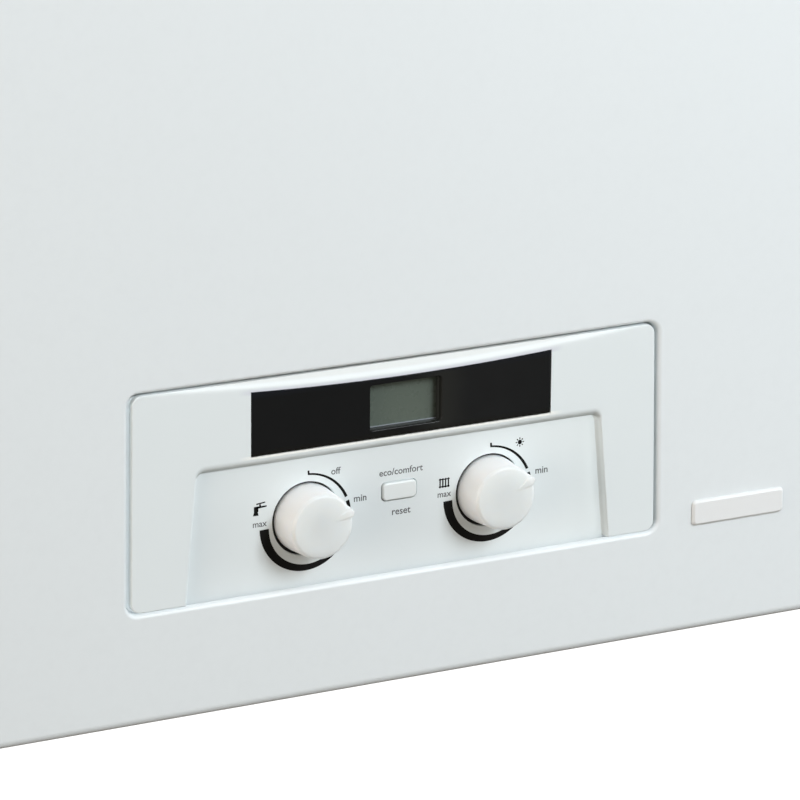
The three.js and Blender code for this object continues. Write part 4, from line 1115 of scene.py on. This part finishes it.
def button():
    cx, cz = P(0.95, -11.1)

    def loop(i, y, r=1.7):
        return [(u, y, v) for u, v in rrect(cx, cz, 15.6 - 2 * i, 7.4 - 2 * i, max(0.5, r - i * 0.6), 8)]

    loops = [loop(0.0, -300.4), loop(0.0, -305.2)]
    for k in range(7):
        t = rad(90 * k / 6)
        loops.append(loop(0.8 * (1 - math.cos(t)), -305.3 - 0.72 * math.sin(t)))
    cap = loft(loops)
    flange = prism("y", rrect(cx, cz, 18.6, 10.4, 2, 4), -300.6, -299.0, 0.2)
    return join(cap, flange, rod("y", (cx, cz), 1.5, -299.5, -290.5, 24, ch=0.3))


put("mode_key", button(), MAT["key"], "mode_button", sharp=50)


def knob(kx, pointer):
    """A tapered cap with a soft rim. The pointer is a wedge on its face that widens outwards and juts over the rim as a nose."""
    cx, cz = P(kx, KNOB_Z)
    base_y = KNOB_Y
    side = rounded([(3.4, 10), (3.4, -1.4), (14.45, -1.6), (14.45, 0.6), (13.72, 12.9), (12.75, 14.2), (0, 14.2)],
                   [0, 0.2, 0.3, 0.4, 1.2, 1.0, 0], 7, closed=False)
    # finer rows down the side and across the face, so that the pointer shows
    prof = []
    for a, b in zip(side, side[1:]):
        d = math.dist(a, b)
        steps = max(1, int(d / 0.55)) if a[1] > 10 and a[0] > 3.5 or a[1] > 13 else max(1, int(d / 1.2)) if a[1] > 0.5 else 1
        prof += [(a[0] + (b[0] - a[0]) * k / steps, a[1] + (b[1] - a[1]) * k / steps) for k in range(steps)]
    angles = {round(360 * k / 120, 3) % 360 for k in range(120)} | {round(0.6 * k, 3) % 360 for k in range(-40, 41)}
    angles = sorted(angles)
    clamp = lambda x: max(0.0, min(1.0, x))
    smooth = lambda x: clamp(x) ** 2 * (3 - 2 * clamp(x))
    verts, rows = [], []
    p = rad(pointer)
    for r, h in prof:
        row = []
        for deg in angles:
            t = rad(deg)
            across, along = r * math.sin(t), r * math.cos(t)
            rr, hh = r, h
            if along > 0:
                wide = 0.35 + 2.0 * clamp((along - 5.6) / 7.6)
                q = across / wide
                if h > 1.6 and r > 12.6:
                    jut = clamp(1 - abs(across) / 2.5) ** 0.85
                    rr = r + max(0.0, 15.25 - r) * jut * smooth((h - 1.5) / 2.0) * (1 - 0.5 * smooth((h - 13.3) / 1.2))
                if h > 12.8 and abs(q) < 1.25:
                    roof = smooth((1.12 - q) / 0.42) * smooth((q + 1.2) / 0.7) * (0.78 + 0.22 * q)
                    hh = h + 0.85 * roof * clamp((along - 5.2) / 7.5) * smooth((h - 12.8) / 1.3)
            a = t + p
            verts.append((cx + rr * math.cos(a), base_y - hh, cz + rr * math.sin(a)))
            row.append(len(verts) - 1)
        rows.append(row)
    n = len(angles)
    faces = []
    for ra, rb in zip(rows, rows[1:]):
        faces += [(ra[k], ra[(k + 1) % n], rb[(k + 1) % n], rb[k]) for k in range(n)]
    tip = len(verts)
    verts.append((cx, base_y - 14.2, cz))
    faces += [(rows[-1][k], rows[-1][(k + 1) % n], tip) for k in range(n)]
    faces.append(tuple(rows[0])[::-1])
    return mesh_of(verts, faces)


for key, (kx, pointer) in KNOBS.items():
    put(f"{key}_control_knob", knob(kx, pointer), MAT["knob"], f"{key}_knob", sharp=60, weighted=False)


# ---- printed scales: thin closed shapes a hair above the recess floor
def flat_shape(points, thick=0.05):
    return prism("y", [P(*p) for p in points], FLOOR_Y - 0.03, FLOOR_Y + thick)


def sector(cx, cz, a0, a1, inner, outer, n=48):
    """A band between two radii, each a number or a function of the share along it, clockwise from a0 to a1."""
    get = lambda f, s: f(s) if callable(f) else f
    pts_o, pts_i = [], []
    for k in range(n + 1):
        s = k / n
        t = rad(a0 + (a1 - a0) * s)
        pts_o.append((cx + get(outer, s) * math.cos(t), cz + get(outer, s) * math.sin(t)))
        pts_i.append((cx + get(inner, s) * math.cos(t), cz + get(inner, s) * math.sin(t)))
    return pts_o + pts_i[::-1]


def prints():
    out = []
    for cx in (-42.2, 42.5):
        cz = -18.5
        out.append(flat_shape(sector(cx, cz, 85.5, 23.0, lambda s: 19.6 + 0.25 * s, lambda s: 20.35 + 0.75 * s)))
        t = rad(85.5)
        out.append(flat_shape([(cx + r * math.cos(t) + dx, cz + r * math.sin(t)) for r, dx in ((19.6, -0.35), (21.5, -0.6), (21.5, 0.2), (19.6, 0.5))]))
        out.append(flat_shape(sector(cx, cz, 18, -178, lambda s: 19.6 - 3.1 * min(1.0, s * 1.02) ** 1.15, lambda s: 21.15 - 0.45 * min(1.0, 3 * s), 72)))
    return gather(out)


put("scale_print", prints(), MAT["ink"], body="chassis", sharp=20, weighted=False)


def word(text, cx, cz, width):
    curve = bpy.data.curves.new("word", "FONT")
    curve.body = text
    curve.size = 3.2
    curve.align_x, curve.align_y = "CENTER", "CENTER"
    curve.resolution_u = 3
    curve.extrude = 0.04
    curve.offset = 0.035
    ob = bpy.data.objects.new("word", curve)
    scene.collection.objects.link(ob)
    dg = bpy.context.evaluated_depsgraph_get()
    me = bpy.data.meshes.new_from_object(ob.evaluated_get(dg))
    bpy.data.objects.remove(ob)
    xs = [v.co.x for v in me.vertices]
    ys = [v.co.y for v in me.vertices]
    k = width / (max(xs) - min(xs))
    mid = (max(xs) + min(xs)) / 2, (max(ys) + min(ys)) / 2
    me.transform(Matrix.Translation((-mid[0], -mid[1], 0)))
    me.transform(Matrix.Diagonal((k, k, 1, 1)))
    me.transform(Matrix.Rotation(rad(90), 4, "X"))
    x, z = P(cx, cz)
    me.transform(Matrix.Translation((x, FLOOR_Y + 0.012, z)))
    return me


words = [word("off", -28.15, 1.1, 4.3), word("min", -16.95, -12.0, 5.8), word("max", -62.75, -16.8, 6.3), word("eco/comfort", 1.95, -2.9, 20.2),
         word("reset", 2.15, -20.3, 8.6), word("max", 22.25, -16.3, 6.3), word("min", 68.25, -12.0, 5.8)]


def signs():
    out = []
    x, z = -62.75, -10.3      # a tap, seen from its side
    for pts in ([(-1.9, 0.35), (3.1, 0.75), (3.1, 1.35), (-1.9, 1.35)], [(-2.7, 1.3), (-0.7, 1.3), (-0.7, -0.9), (-2.7, -0.9)],
                [(-3.1, -2.5), (-0.6, -2.5), (-1.0, -0.85), (-2.6, -0.85)], [(-0.3, 1.3), (0.5, 1.3), (0.5, 2.1), (-0.3, 2.1)], [(-1.6, 2.0), (2.4, 2.5), (2.4, 3.0), (-1.6, 2.6)]):
        out.append(flat_shape([(x + a, z + b) for a, b in pts]))
    x, z = 22.15, -11.1       # a radiator
    for i in range(4):
        a = -1.95 + i * 1.3
        out.append(flat_shape([(x + a - 0.3, z - 2.1), (x + a + 0.3, z - 2.1), (x + a + 0.3, z + 2.0), (x + a - 0.3, z + 2.0)]))
    for b in (-1.6, 1.5):
        out.append(flat_shape([(x - 2.5, z + b - 0.26), (x + 2.5, z + b - 0.26), (x + 2.5, z + b + 0.26), (x - 2.5, z + b + 0.26)]))
    x, z = 57.7, 1.4          # a sun
    out.append(flat_shape([(x + 1.0 * math.cos(rad(a)), z + 1.0 * math.sin(rad(a))) for a in range(0, 360, 20)]))
    for k in range(8):
        t = rad(45 * k)
        c, s = math.cos(t), math.sin(t)
        out.append(flat_shape([(x + c * r - s * w, z + s * r + c * w) for r, w in ((1.25, -0.24), (2.0, -0.2), (2.0, 0.2), (1.25, 0.24))]))
    return out


put("legend_print", gather(words), MAT["grey_ink"], body="chassis", sharp=20, weighted=False)
put("sign_print", gather(signs()), MAT["ink"], body="chassis", sharp=20, weighted=False)


# ------------------------------------------------------------------ control box
def control_box():
    outer = block(PX - 172, PX + 172, FACE + 9.1, -248, PZ - 65, PZ + 77, 5)
    inner = block(PX - 169.8, PX + 169.8, FACE + 11.1, -240, PZ - 62.8, PZ + 74.8, 4)
    ribs = [block(PX + x - 1, PX + x + 1, -290, -248.4, PZ + 76.0, PZ + 78.2, 0.3) for x in range(-150, 151, 20)]
    ribs += [block(PX + s * 172.2 - 0.9, PX + s * 172.2 + 0.9, -290, -252, PZ + z - 1, PZ + z + 1, 0.3) for s in (-1, 1) for z in range(-50, 61, 15)]
    vents = [prism("z", rrect(PX + x, -272, 3.4, 26, 1.6, 5), PZ - 70, PZ - 60) for x in range(-130, 131, 10)]
    return cut(join(outer, ribs), inner, block(PX - 112, PX + 112, FACE, FACE + 20, PZ - 38, PZ + 42), vents)


put("box_shell", control_box(), MAT["grey"], "control_box")


def pan_screw(axis, c, r, a, b):
    """A low round head with a cross recess, standing from a to b along the axis."""
    s = 1 if b > a else -1
    head = turned(rounded([(0, a), (r, a), (r * 0.86, a + (b - a) * 0.75), (0, b)], [0, 0.0, 0.5, 0], 3, closed=False), 36, axis, c)
    deep = b - s * min(1.0, abs(b - a) * 0.6)
    lo, hi = sorted((deep, b + s * 0.5))
    arms = []
    for du, dv in ((r * 0.55, 0.35), (0.35, r * 0.55)):
        pts = [(c[0] - du, c[1] - dv), (c[0] + du, c[1] - dv), (c[0] + du, c[1] + dv), (c[0] - du, c[1] + dv)]
        arms.append(prism(axis, pts, lo, hi))
    return cut(head, arms)


def box_lid():
    plate = prism("y", [(PX + u, PZ + v) for u, v in rrect(0, 6, 344, 142, 6, 8)], -247.6, -245.8, 0.5)
    raised = prism("y", [(PX + u, PZ + v) for u, v in rrect(0, 6, 300, 102, 8, 8)], -246.4, -244.3, 0.0, 3, far=1.2)
    ribs = [prism("y", [(PX + u, PZ + v) for u, v in rrect(x, 6, 2.2, 88, 1.0, 3)], -244.8, -243.6, 0.0, 2, far=0.5) for x in range(-120, 121, 24)]
    return join(plate, raised, ribs)


put("box_rear", box_lid(), MAT["grey"], "control_box_lid")
put("box_rear_screws", gather([pan_screw("y", (PX + x, PZ + z), 3.4, -246.0, -243.7) for x in (-160, 0, 160) for z in (-58, 70)]), MAT["screw"], body="chassis")


def gland():
    c = (-172, -215)
    body = [rod("z", c, 8, 10, 34, 48, ch=0.5), hexnut("z", c, 11, 12.5, 19.7), hexnut("z", c, 11, 21.8, 27.0), thread("z", c, 8.2, 1.4, 11.0, 13.0, 48, 0.3)]
    dome = turned(rounded([(4.4, 10), (7.6, 10), (8.0, 12.6), (4.4, 12.6)], [0.6, 1.2, 0.2, 0], 4), 48, "z", c)
    return cut(join(body, dome), rod("z", c, 4.2, 0, 45, 40))


put("cord_gland", gland(), MAT["black"], "cable_gland")


# ------------------------------------------------------------------ sealed chamber
def chamber():
    shell = cut(block(-190, 190, -262, -98, 306, 734, 2.5), block(-188.8, 188.8, -270, -99.2, 307.2, 732.8))
    flange = cut(block(-191.6, 191.6, -262.6, -261.2, 304.6, 735.4, 0.3), block(-180, 180, -270, -255, 316, 724))
    beads = [prism("x", [(y, z) for y, z in rrect(-180, 330 + 42 * k, 110, 7, 3.4, 6)], s * 190 - 0.9, s * 190 + 0.9, 0.8, 3) for s in (-1, 1) for k in range(10)]
    holes = [rod("z", (0, FLUE_Y), 47.2, 725, 740, 96)] + [rod("z", (s * 130, FLUE_Y), 36, 725, 740, 80) for s in (-1, 1)]
    holes += [rod("z", (-124, -180), 10.5, 300, 312, 48), rod("z", (124, -180), 10.5, 300, 312, 48), rod("z", (0, -248), 8.5, 300, 312, 48)]
    inside = block(-188.8, 188.8, -256, -99.2, 307.2, 732.8)
    return cut(join(shell, flange, beads), holes, inside)


put("chamber_shell", chamber(), MAT["galv"], "sealed_chamber")


def chamber_lid():
    """A pressed pan with a raised field, two swages and a rolled edge round its peephole."""
    def loop(w, h, r, y):
        return [(u, y, v) for u, v in rrect(0, 520, w, h, r, 8)]
    def field(w, h, r, y, cz=522.5):
        return [(u, y, v) for u, v in rrect(0, cz, w, h, r, 8)]
    front = loft([loop(383.4, 431.4, 5, -263.2), loop(384, 432, 5, -263.6), loop(384, 432, 5, -264.4), loop(383.6, 431.6, 5, -264.6),
                  field(342, 387, 9, -264.6), field(340, 385, 8, -265.2), field(338.4, 383.4, 8, -267.4), field(336, 381, 7, -268.0)])
    back = loft([field(337.6, 382.6, 7, -262.0), field(337.6, 382.6, 7, -266.2), field(336.4, 381.4, 6.4, -266.8)])
    swages = [prism("y", rrect(0, z, 240, 9, 4.4, 8), -268.9, -266.9, 0.9, 3) for z in (372, 560, 600, 640)]
    collar = turned(rounded([(13, -269.0), (16.5, -269.0), (18.0, -267.4), (13, -267.4)], [0.4, 0.8, 0, 0], 3), 72, "y", (0, 440))
    return cut(join(cut(front, back), swages, collar), rod("y", (0, 440), 13, -275, -255, 72))


put("chamber_front", chamber_lid(), MAT["galv"], "chamber_cover")
lid_screws = [(x, z) for x in (-181, 181) for z in (322, 420, 520, 620, 718)] + [(x, z) for x in (-90, 0, 90) for z in (316, 726)]
put("chamber_front_screws", gather([pan_screw("y", c, 4.0, -264.3, -267.2) for c in lid_screws]), MAT["screw"], body="chassis")
put("peephole", turned(rounded([(0, -269.9), (16, -269.9), (16, -268.4), (12.5, -268.4), (12.5, -265.4), (0, -265.4)][::1], [0, 0.6, 0.3, 0.3, 0.5, 0], 4, closed=False), 72, "y", (0, 440)),
    MAT["glass"], "sight_glass")


def fan_case():
    drum = turned(rounded([(0, -214), (52, -214), (52, -149), (0, -149)], [0, 3.0, 1.2, 0], 5, closed=False), 120, "y", (0, 664))
    seam = turned(rounded([(50.8, -183.5), (53, -183.5), (53, -180.5), (50.8, -180.5)], 0.8, 3), 120, "y", (0, 664))
    tube = rod("z", (0, FLUE_Y), 31.2, 690, 795.3, 112, ch=0.4)
    bead = turned(rounded([(30.8, 0), (32.4, 1.2), (32.4, 2.4), (30.8, 3.6)], [0, 0.8, 0.8, 0], 3), 112, "z", (0, FLUE_Y), 781)
    heads = [hexnut("y", (44 * math.cos(t), 664 + 44 * math.sin(t)), 3.4, -215.6, -213.5) for t in (rad(30 + 60 * k) for k in range(6))]
    hollow = [rod("y", (0, 664), 50.5, -212.5, -150.5, 112), rod("z", (0, FLUE_Y), 29.7, 690, 800, 112), rod("y", (0, 664), 27, -155, -140, 72), rod("y", (0, 664), 12, -220, -210, 48)]
    return cut(join(drum, seam, tube, bead, heads), hollow)


put("fan_case", fan_case(), MAT["alu"], "fan_housing")


def vessel():
    prof = [(0, -38), (128, -38), (150, -30), (159, -12), (160, -3), (165, -3), (165, 3), (160, 3), (159, 12), (150, 30), (128, 38), (0, 38)]
    outer = turned(rounded(prof, [0, 22, 16, 8, 0.6, 1.2, 1.2, 0.6, 8, 16, 22, 0], 6, closed=False), 144, "y", (0, 505), -56)
    inner = turned([(0, -36.2), (127, -36.2), (148.5, -28.6), (157, -11.5), (157, 11.5), (148.5, 28.6), (127, 36.2), (0, 36.2)], 72, "y", (0, 505), -56)
    swage = [turned(rounded([(r, h * 1), (r + 6, h * 1.03), (r + 12, h)], [0, 3, 0], 4), 144, "y", (0, 505), -56) for r, h in ((60, 37.9), (60, -37.9))]
    stub = rod("z", (0, -56), 7, 327, 355, 48, ch=0.4)
    nut = hexnut("z", (0, -56), 10.5, 329.5, 338)
    valve = [rod("z", (0, -56), 5.2, 668.5, 681, 32, ch=0.6)]
    return cut(join(outer, swage, stub, nut, valve), inner, rod("z", (0, -56), 3.5, 325, 365, 32))


put("vessel_shell", vessel(), MAT["vessel"], "expansion_vessel")

# ------------------------------------------------------------------ water and gas
put("vessel_tube", pipe([(0, -56, 326.4), (0, -56, 305), (20, -56, 285), (70, -56, 262), (112, -62, 235), (118, -74, 205), (118, -84, 170), (118, -84, 125.5)], 5, 28, 3.5), MAT["copper"], "vessel_pipe")
put("return_tube", pipe([(130, -125, 186.3), (130, -125, 205), (129, -135, 225), (126, -165, 250), (124, -180, 275), (124, -180, 300), (124, -180, 400), (124, -180, 505.7)], 9, 36, 4), MAT["copper"], "return_pipe")
put("flow_tube", pipe([(-124, -180, 505.7), (-124, -180, 400), (-124, -180, 250), (-124, -180, 120), (-125, -172, 90), (-128, -150, 72), (-130, -125, 70), (-130, -98.4, 70)], 9, 36, 4), MAT["copper"], "flow_pipe")
put("gas_tube", pipe([(0, -185, 150.4), (0, -185, 170), (0, -188, 200), (0, -205, 235), (0, -232, 262), (0, -245, 285), (0, -248, 305), (0, -248, 329.6)], 7.5, 36, 3.5), MAT["copper"], "gas_pipe_upper")


def tail(x, r, z1, bore, hexes=((15, 0, 18),)):
    """A threaded tail below the casing with its hexagon."""
    parts = [rod("z", (x, TY), r, TZ, z1, 56, ch=0.5), thread("z", (x, TY), r + 0.25, 1.81, TZ + 1.5, TZ + 20, 56, 0.55)]
    parts += [hexnut("z", (x, TY), h, a, b) for h, a, b in hexes]
    parts += [rod("z", (x, TY), r + 1.6, -6.5, -4.0, 56, ch=0.5)]
    return parts, rod("z", (x, TY), bore, TZ - 2, 14, 48)


def pump_body():
    c = (130, 100)
    volute = turned(rounded([(0, -150), (52, -150), (52, -97), (0, -97)], [0, 3, 7, 0], 6, closed=False), 112, "y", c)
    flange = turned(rounded([(46, -150), (52.4, -150), (52.4, -143), (46, -143)], [0, 0.8, 0.8, 0], 3), 112, "y", c)
    bolts = [hexnut("y", (130 + 47.5 * math.cos(t), 100 + 47.5 * math.sin(t)), 3.6, -152.4, -149.0) for t in (rad(45), rad(135), rad(225), rad(315))]
    parts, bore = tail(130, 11, 30, 8)
    parts += [block(105, 155, -100, -50, 24, 92, 5), rod("z", (118, -84), 8, 90, 125, 48, ch=0.5), hexnut("z", (118, -84), 10.5, 112, 122),
              rod("z", (130, -125), 12, 140, 186, 56, ch=0.6), hexnut("z", (130, -125), 16, 168, 182), rod("x", (TY, 74), 8, 80.4, 110, 48, ch=0.4),
              rod("z", (168, -124), 13, 150, 186, 56, ch=1.5), rod("z", (168, -124), 5, 120, 152, 32), rod("y", (140, 60), 7, -104, -98, 32, ch=0.8)]
    return cut(join(volute, flange, bolts, parts), rod("y", c, 40, -146, -112, 72), rod("y", c, 22, -155, -140, 64), bore)


put("pump_casting", pump_body(), MAT["brass"], "pump_body")


def pump_motor():
    c = (130, 100)
    prof = [(0, -222), (40, -222), (45, -216)]
    for k in range(9):
        y = -208 + k * 6
        prof += [(45, y), (43.4, y + 0.8), (43.4, y + 2.6), (45, y + 3.4)]
    prof += [(45, -150.3), (0, -150.3)]
    can = turned(prof, 112, "y", c)
    plug = turned(rounded([(0, -227), (12, -227), (12, -221), (0, -221)], [0, 1.4, 0, 0], 4, closed=False), 56, "y", c)
    slot_ = block(123, 137, -228, -225.6, 99.1, 100.9)
    box_ = block(104, 156, -215, -165, 140, 158, 3)
    lid = block(106, 154, -213, -167, 157.2, 159.2, 0.9)
    return cut(join(can, plug, box_, lid), rod("y", c, 6, -205, -149, 40), slot_)


put("pump_can", pump_motor(), MAT["grey"], "pump_motor")


def three_way():
    parts, bore = tail(-130, 11, 30, 8)
    parts += [block(-152, -108, -98, -52, 24, 95, 5), rod("z", (-130, TY), 17, 94, 124, 64, ch=0.8), hexnut("z", (-130, TY), 20, 99, 108), rod("x", (TY, 84), 8, -110, -80.4, 48, ch=0.4),
              rod("y", (-130, 70), 13, -98.2, -92, 56, ch=0.6)]
    return cut(join(parts), rod("z", (-130, TY), 12, 28, 88, 64), rod("z", (-130, TY), 8, TZ - 2, 30, 48), rod("z", (-130, TY), 3.6, 80, 130, 32))


put("valve_casting", three_way(), MAT["brass"], "three_way_valve")


def actuator():
    body = block(-150, -110, -98, -52, 124.4, 172, 3.5)
    cap = rod("z", (-130, TY), 19, 170, 178, 72, ch=1.6)
    ribs = [block(-151 + 0 * k, -109, -99 + 0 * k, -51, 132 + 7 * k, 133.6 + 7 * k, 0.6) for k in range(5)]
    plug = block(-140, -120, -105, -97, 140, 154, 1.2)
    return cut(join(body, cap, ribs, plug), rod("z", (-130, TY), 3.6, 120, 150, 32), block(-141.5, -118.5, -76.2, -73.8, 176.6, 179))


put("actuator_head", actuator(), MAT["black"], "valve_actuator")


def cold_block():
    parts, bore = tail(65, 10, 30, 7.2)
    parts += [block(50, 80, -90, -60, 26, 48, 3.5), rod("z", (65, TY), 12, 46, 59.6, 56, ch=0.6), block(78, 103, -85, -65, 28, 44, 3), rod("z", (97.5, TY), 5.5, -4, 30, 40, ch=0.4),
              hexnut("z", (97.5, TY), 8.4, 14, 22)]
    return cut(join(parts), bore, rod("z", (65, TY), 7.2, TZ - 2, 40, 48))


put("cold_casting", cold_block(), MAT["brass"], "cold_water_block")


def hand_wheel(axis, c, r, lobes, lift, a, b, edge):
    """A small wheel with rounded ridges for the fingers."""
    line = []
    for k in range(lobes * 14):
        t = 2 * math.pi * k / (lobes * 14)
        q = r + lift * max(0.0, math.cos(lobes * t)) ** 0.7
        line.append((c[0] + q * math.cos(t), c[1] + q * math.sin(t)))
    return prism(axis, line, a, b, edge, 4)


put("tap_wheel", cut(hand_wheel("z", (97.5, TY), 12.7, 8, 2.0, -20.3, -4.3, 1.3), ring("z", (97.5, TY), 9.2, 7.4, -21, -19.5, 48)), MAT["blue"], "filling_tap_knob", sharp=50)
put("relief_wheel", cut(hand_wheel("y", (178, 48), 12.6, 10, 1.5, -98.4, -82.4, 1.3), ring("y", (178, 48), 9.0, 7.2, -99, -97.6, 48)), MAT["red"], "relief_valve_knob", sharp=50)


def relief():
    body = [block(166, 190, -82, -58, 34, 62, 3), rod("x", (-70, 48), 6, 155.4, 168, 40, ch=0.4), hexnut("x", (-70, 48), 9, 158.5, 165), rod("z", (178, -70), 8, -26, 36, 56, ch=0.6),
            hexnut("z", (178, -70), 10.4, 24, 33), thread("z", (178, -70), 8.25, 1.6, -24.5, -10, 56, 0.5)]
    return cut(join(body), rod("z", (178, -70), 5.5, -30, 20, 40))


put("relief_casting", relief(), MAT["brass"], "relief_valve")


def hot_tail():
    parts, bore = tail(-65, 10, 59.6, 7.2, ((15, 0, 18), (14, 30, 44)))
    return cut(join(parts), bore, rod("z", (-65, TY), 7.2, TZ - 2, 40, 48))


put("hot_tail", hot_tail(), MAT["copper"], "hot_water_pipe")


def gas_lower():
    parts, bore = tail(0, 11, 26, 8.4)
    run = pipe([(0, -75, 20), (0, -76, 30), (0, -86, 41), (0, -105, 44), (0, -145, 44), (0, -170, 44.5), (0, -182, 49), (0, -185, 54), (0, -185, 59.2)], 8, 36, 2.5)
    return cut(join(parts, run), bore)


put("gas_tail", gas_lower(), MAT["steel"], "gas_pipe_lower")


def gas_valve():
    body = [block(-30, 30, -214, -156, 74, 136, 3), rod("z", (0, -185), 15, 60, 76, 64, ch=0.8), rod("z", (0, -185), 15, 135, 150, 64, ch=0.8), hexnut("z", (0, -185), 17, 62, 71),
            hexnut("z", (0, -185), 17, 139, 148), rod("x", (-172, 105), 15, -58, -28, 64, ch=1.5), rod("x", (-202, 105), 12, -52, -28, 56, ch=1.2), block(28, 48, -205, -165, 85, 128, 2),
            rod("y", (12, 100), 8, -222, -212, 48, ch=0.8), rod("y", (-14, 122), 3.2, -217, -213, 32, ch=0.5), rod("y", (-14, 112), 3.2, -217, -213, 32, ch=0.5)]
    webs = [block(-26, 26, -214.8, -213.4, z, z + 2, 0.4) for z in (82, 130)]
    return join(body, webs)


put("valve_block", gas_valve(), MAT["alu"], "gas_valve")
put("valve_block_screws", gather([pan_screw("y", (x, z), 2.8, -213.8, -216.2) for x in (-24, 24) for z in (79, 131)]), MAT["screw"], body="chassis")


# ------------------------------------------------------------------ what keeps its CAD shape
SLOT_MAT = {
    "casing_paint": "paint", "fascia_plastic": "fascia", "knob_plastic": "knob", "badge_plastic": "badge", "strip_lens": "strip", "lcd_glass": "lcd",
    "galvanised_steel": "galv", "stainless_steel": "steel", "screw_steel": "screw", "copper": "copper", "brass": "brass", "aluminium": "alu",
    "black_plastic": "black", "grey_plastic": "grey", "circuit_board": "board", "red_plastic": "red", "blue_plastic": "blue", "vessel_red": "vessel",
    "motor_casting": "motor", "ceramic": "ceramic", "sight_glass": "glass",
}
SLOT = {p["node"]: p["material_slot"] for p in frame["record"]["subparts"]}


def keep(node, bevel=0.6, sharp=38):
    """A CAD node stays as it is, with rounded edges and its finish."""
    ob = nodes[node]
    ob.data.materials.clear()
    ob.data.materials.append(MAT[SLOT_MAT[SLOT[node]]])
    for p in ob.data.polygons:
        p.use_smooth = True
    ob.data.set_sharp_from_angle(angle=rad(sharp))
    if bevel > 0:
        m = ob.modifiers.new("rounding", "BEVEL")
        m.width, m.segments, m.limit_method, m.angle_limit = bevel * 0.001, 2, "ANGLE", rad(sharp)
        m.use_clamp_overlap = True
    m = ob.modifiers.new("normals", "WEIGHTED_NORMAL")
    m.mode, m.weight, m.keep_sharp = "FACE_AREA", 60, True


for name in nodes:
    if name not in REPLACED:
        keep(name)

# the fascia's own walls are kept from shading its recess from the key light, which is larger than its card stands for
clear = bpy.data.collections.new("key_passes")
clear.objects.link(bpy.data.objects["fascia_moulding"])
clear.collection_objects[0].light_linking.link_state = "EXCLUDE"
key_light.light_linking.blocker_collection = clear
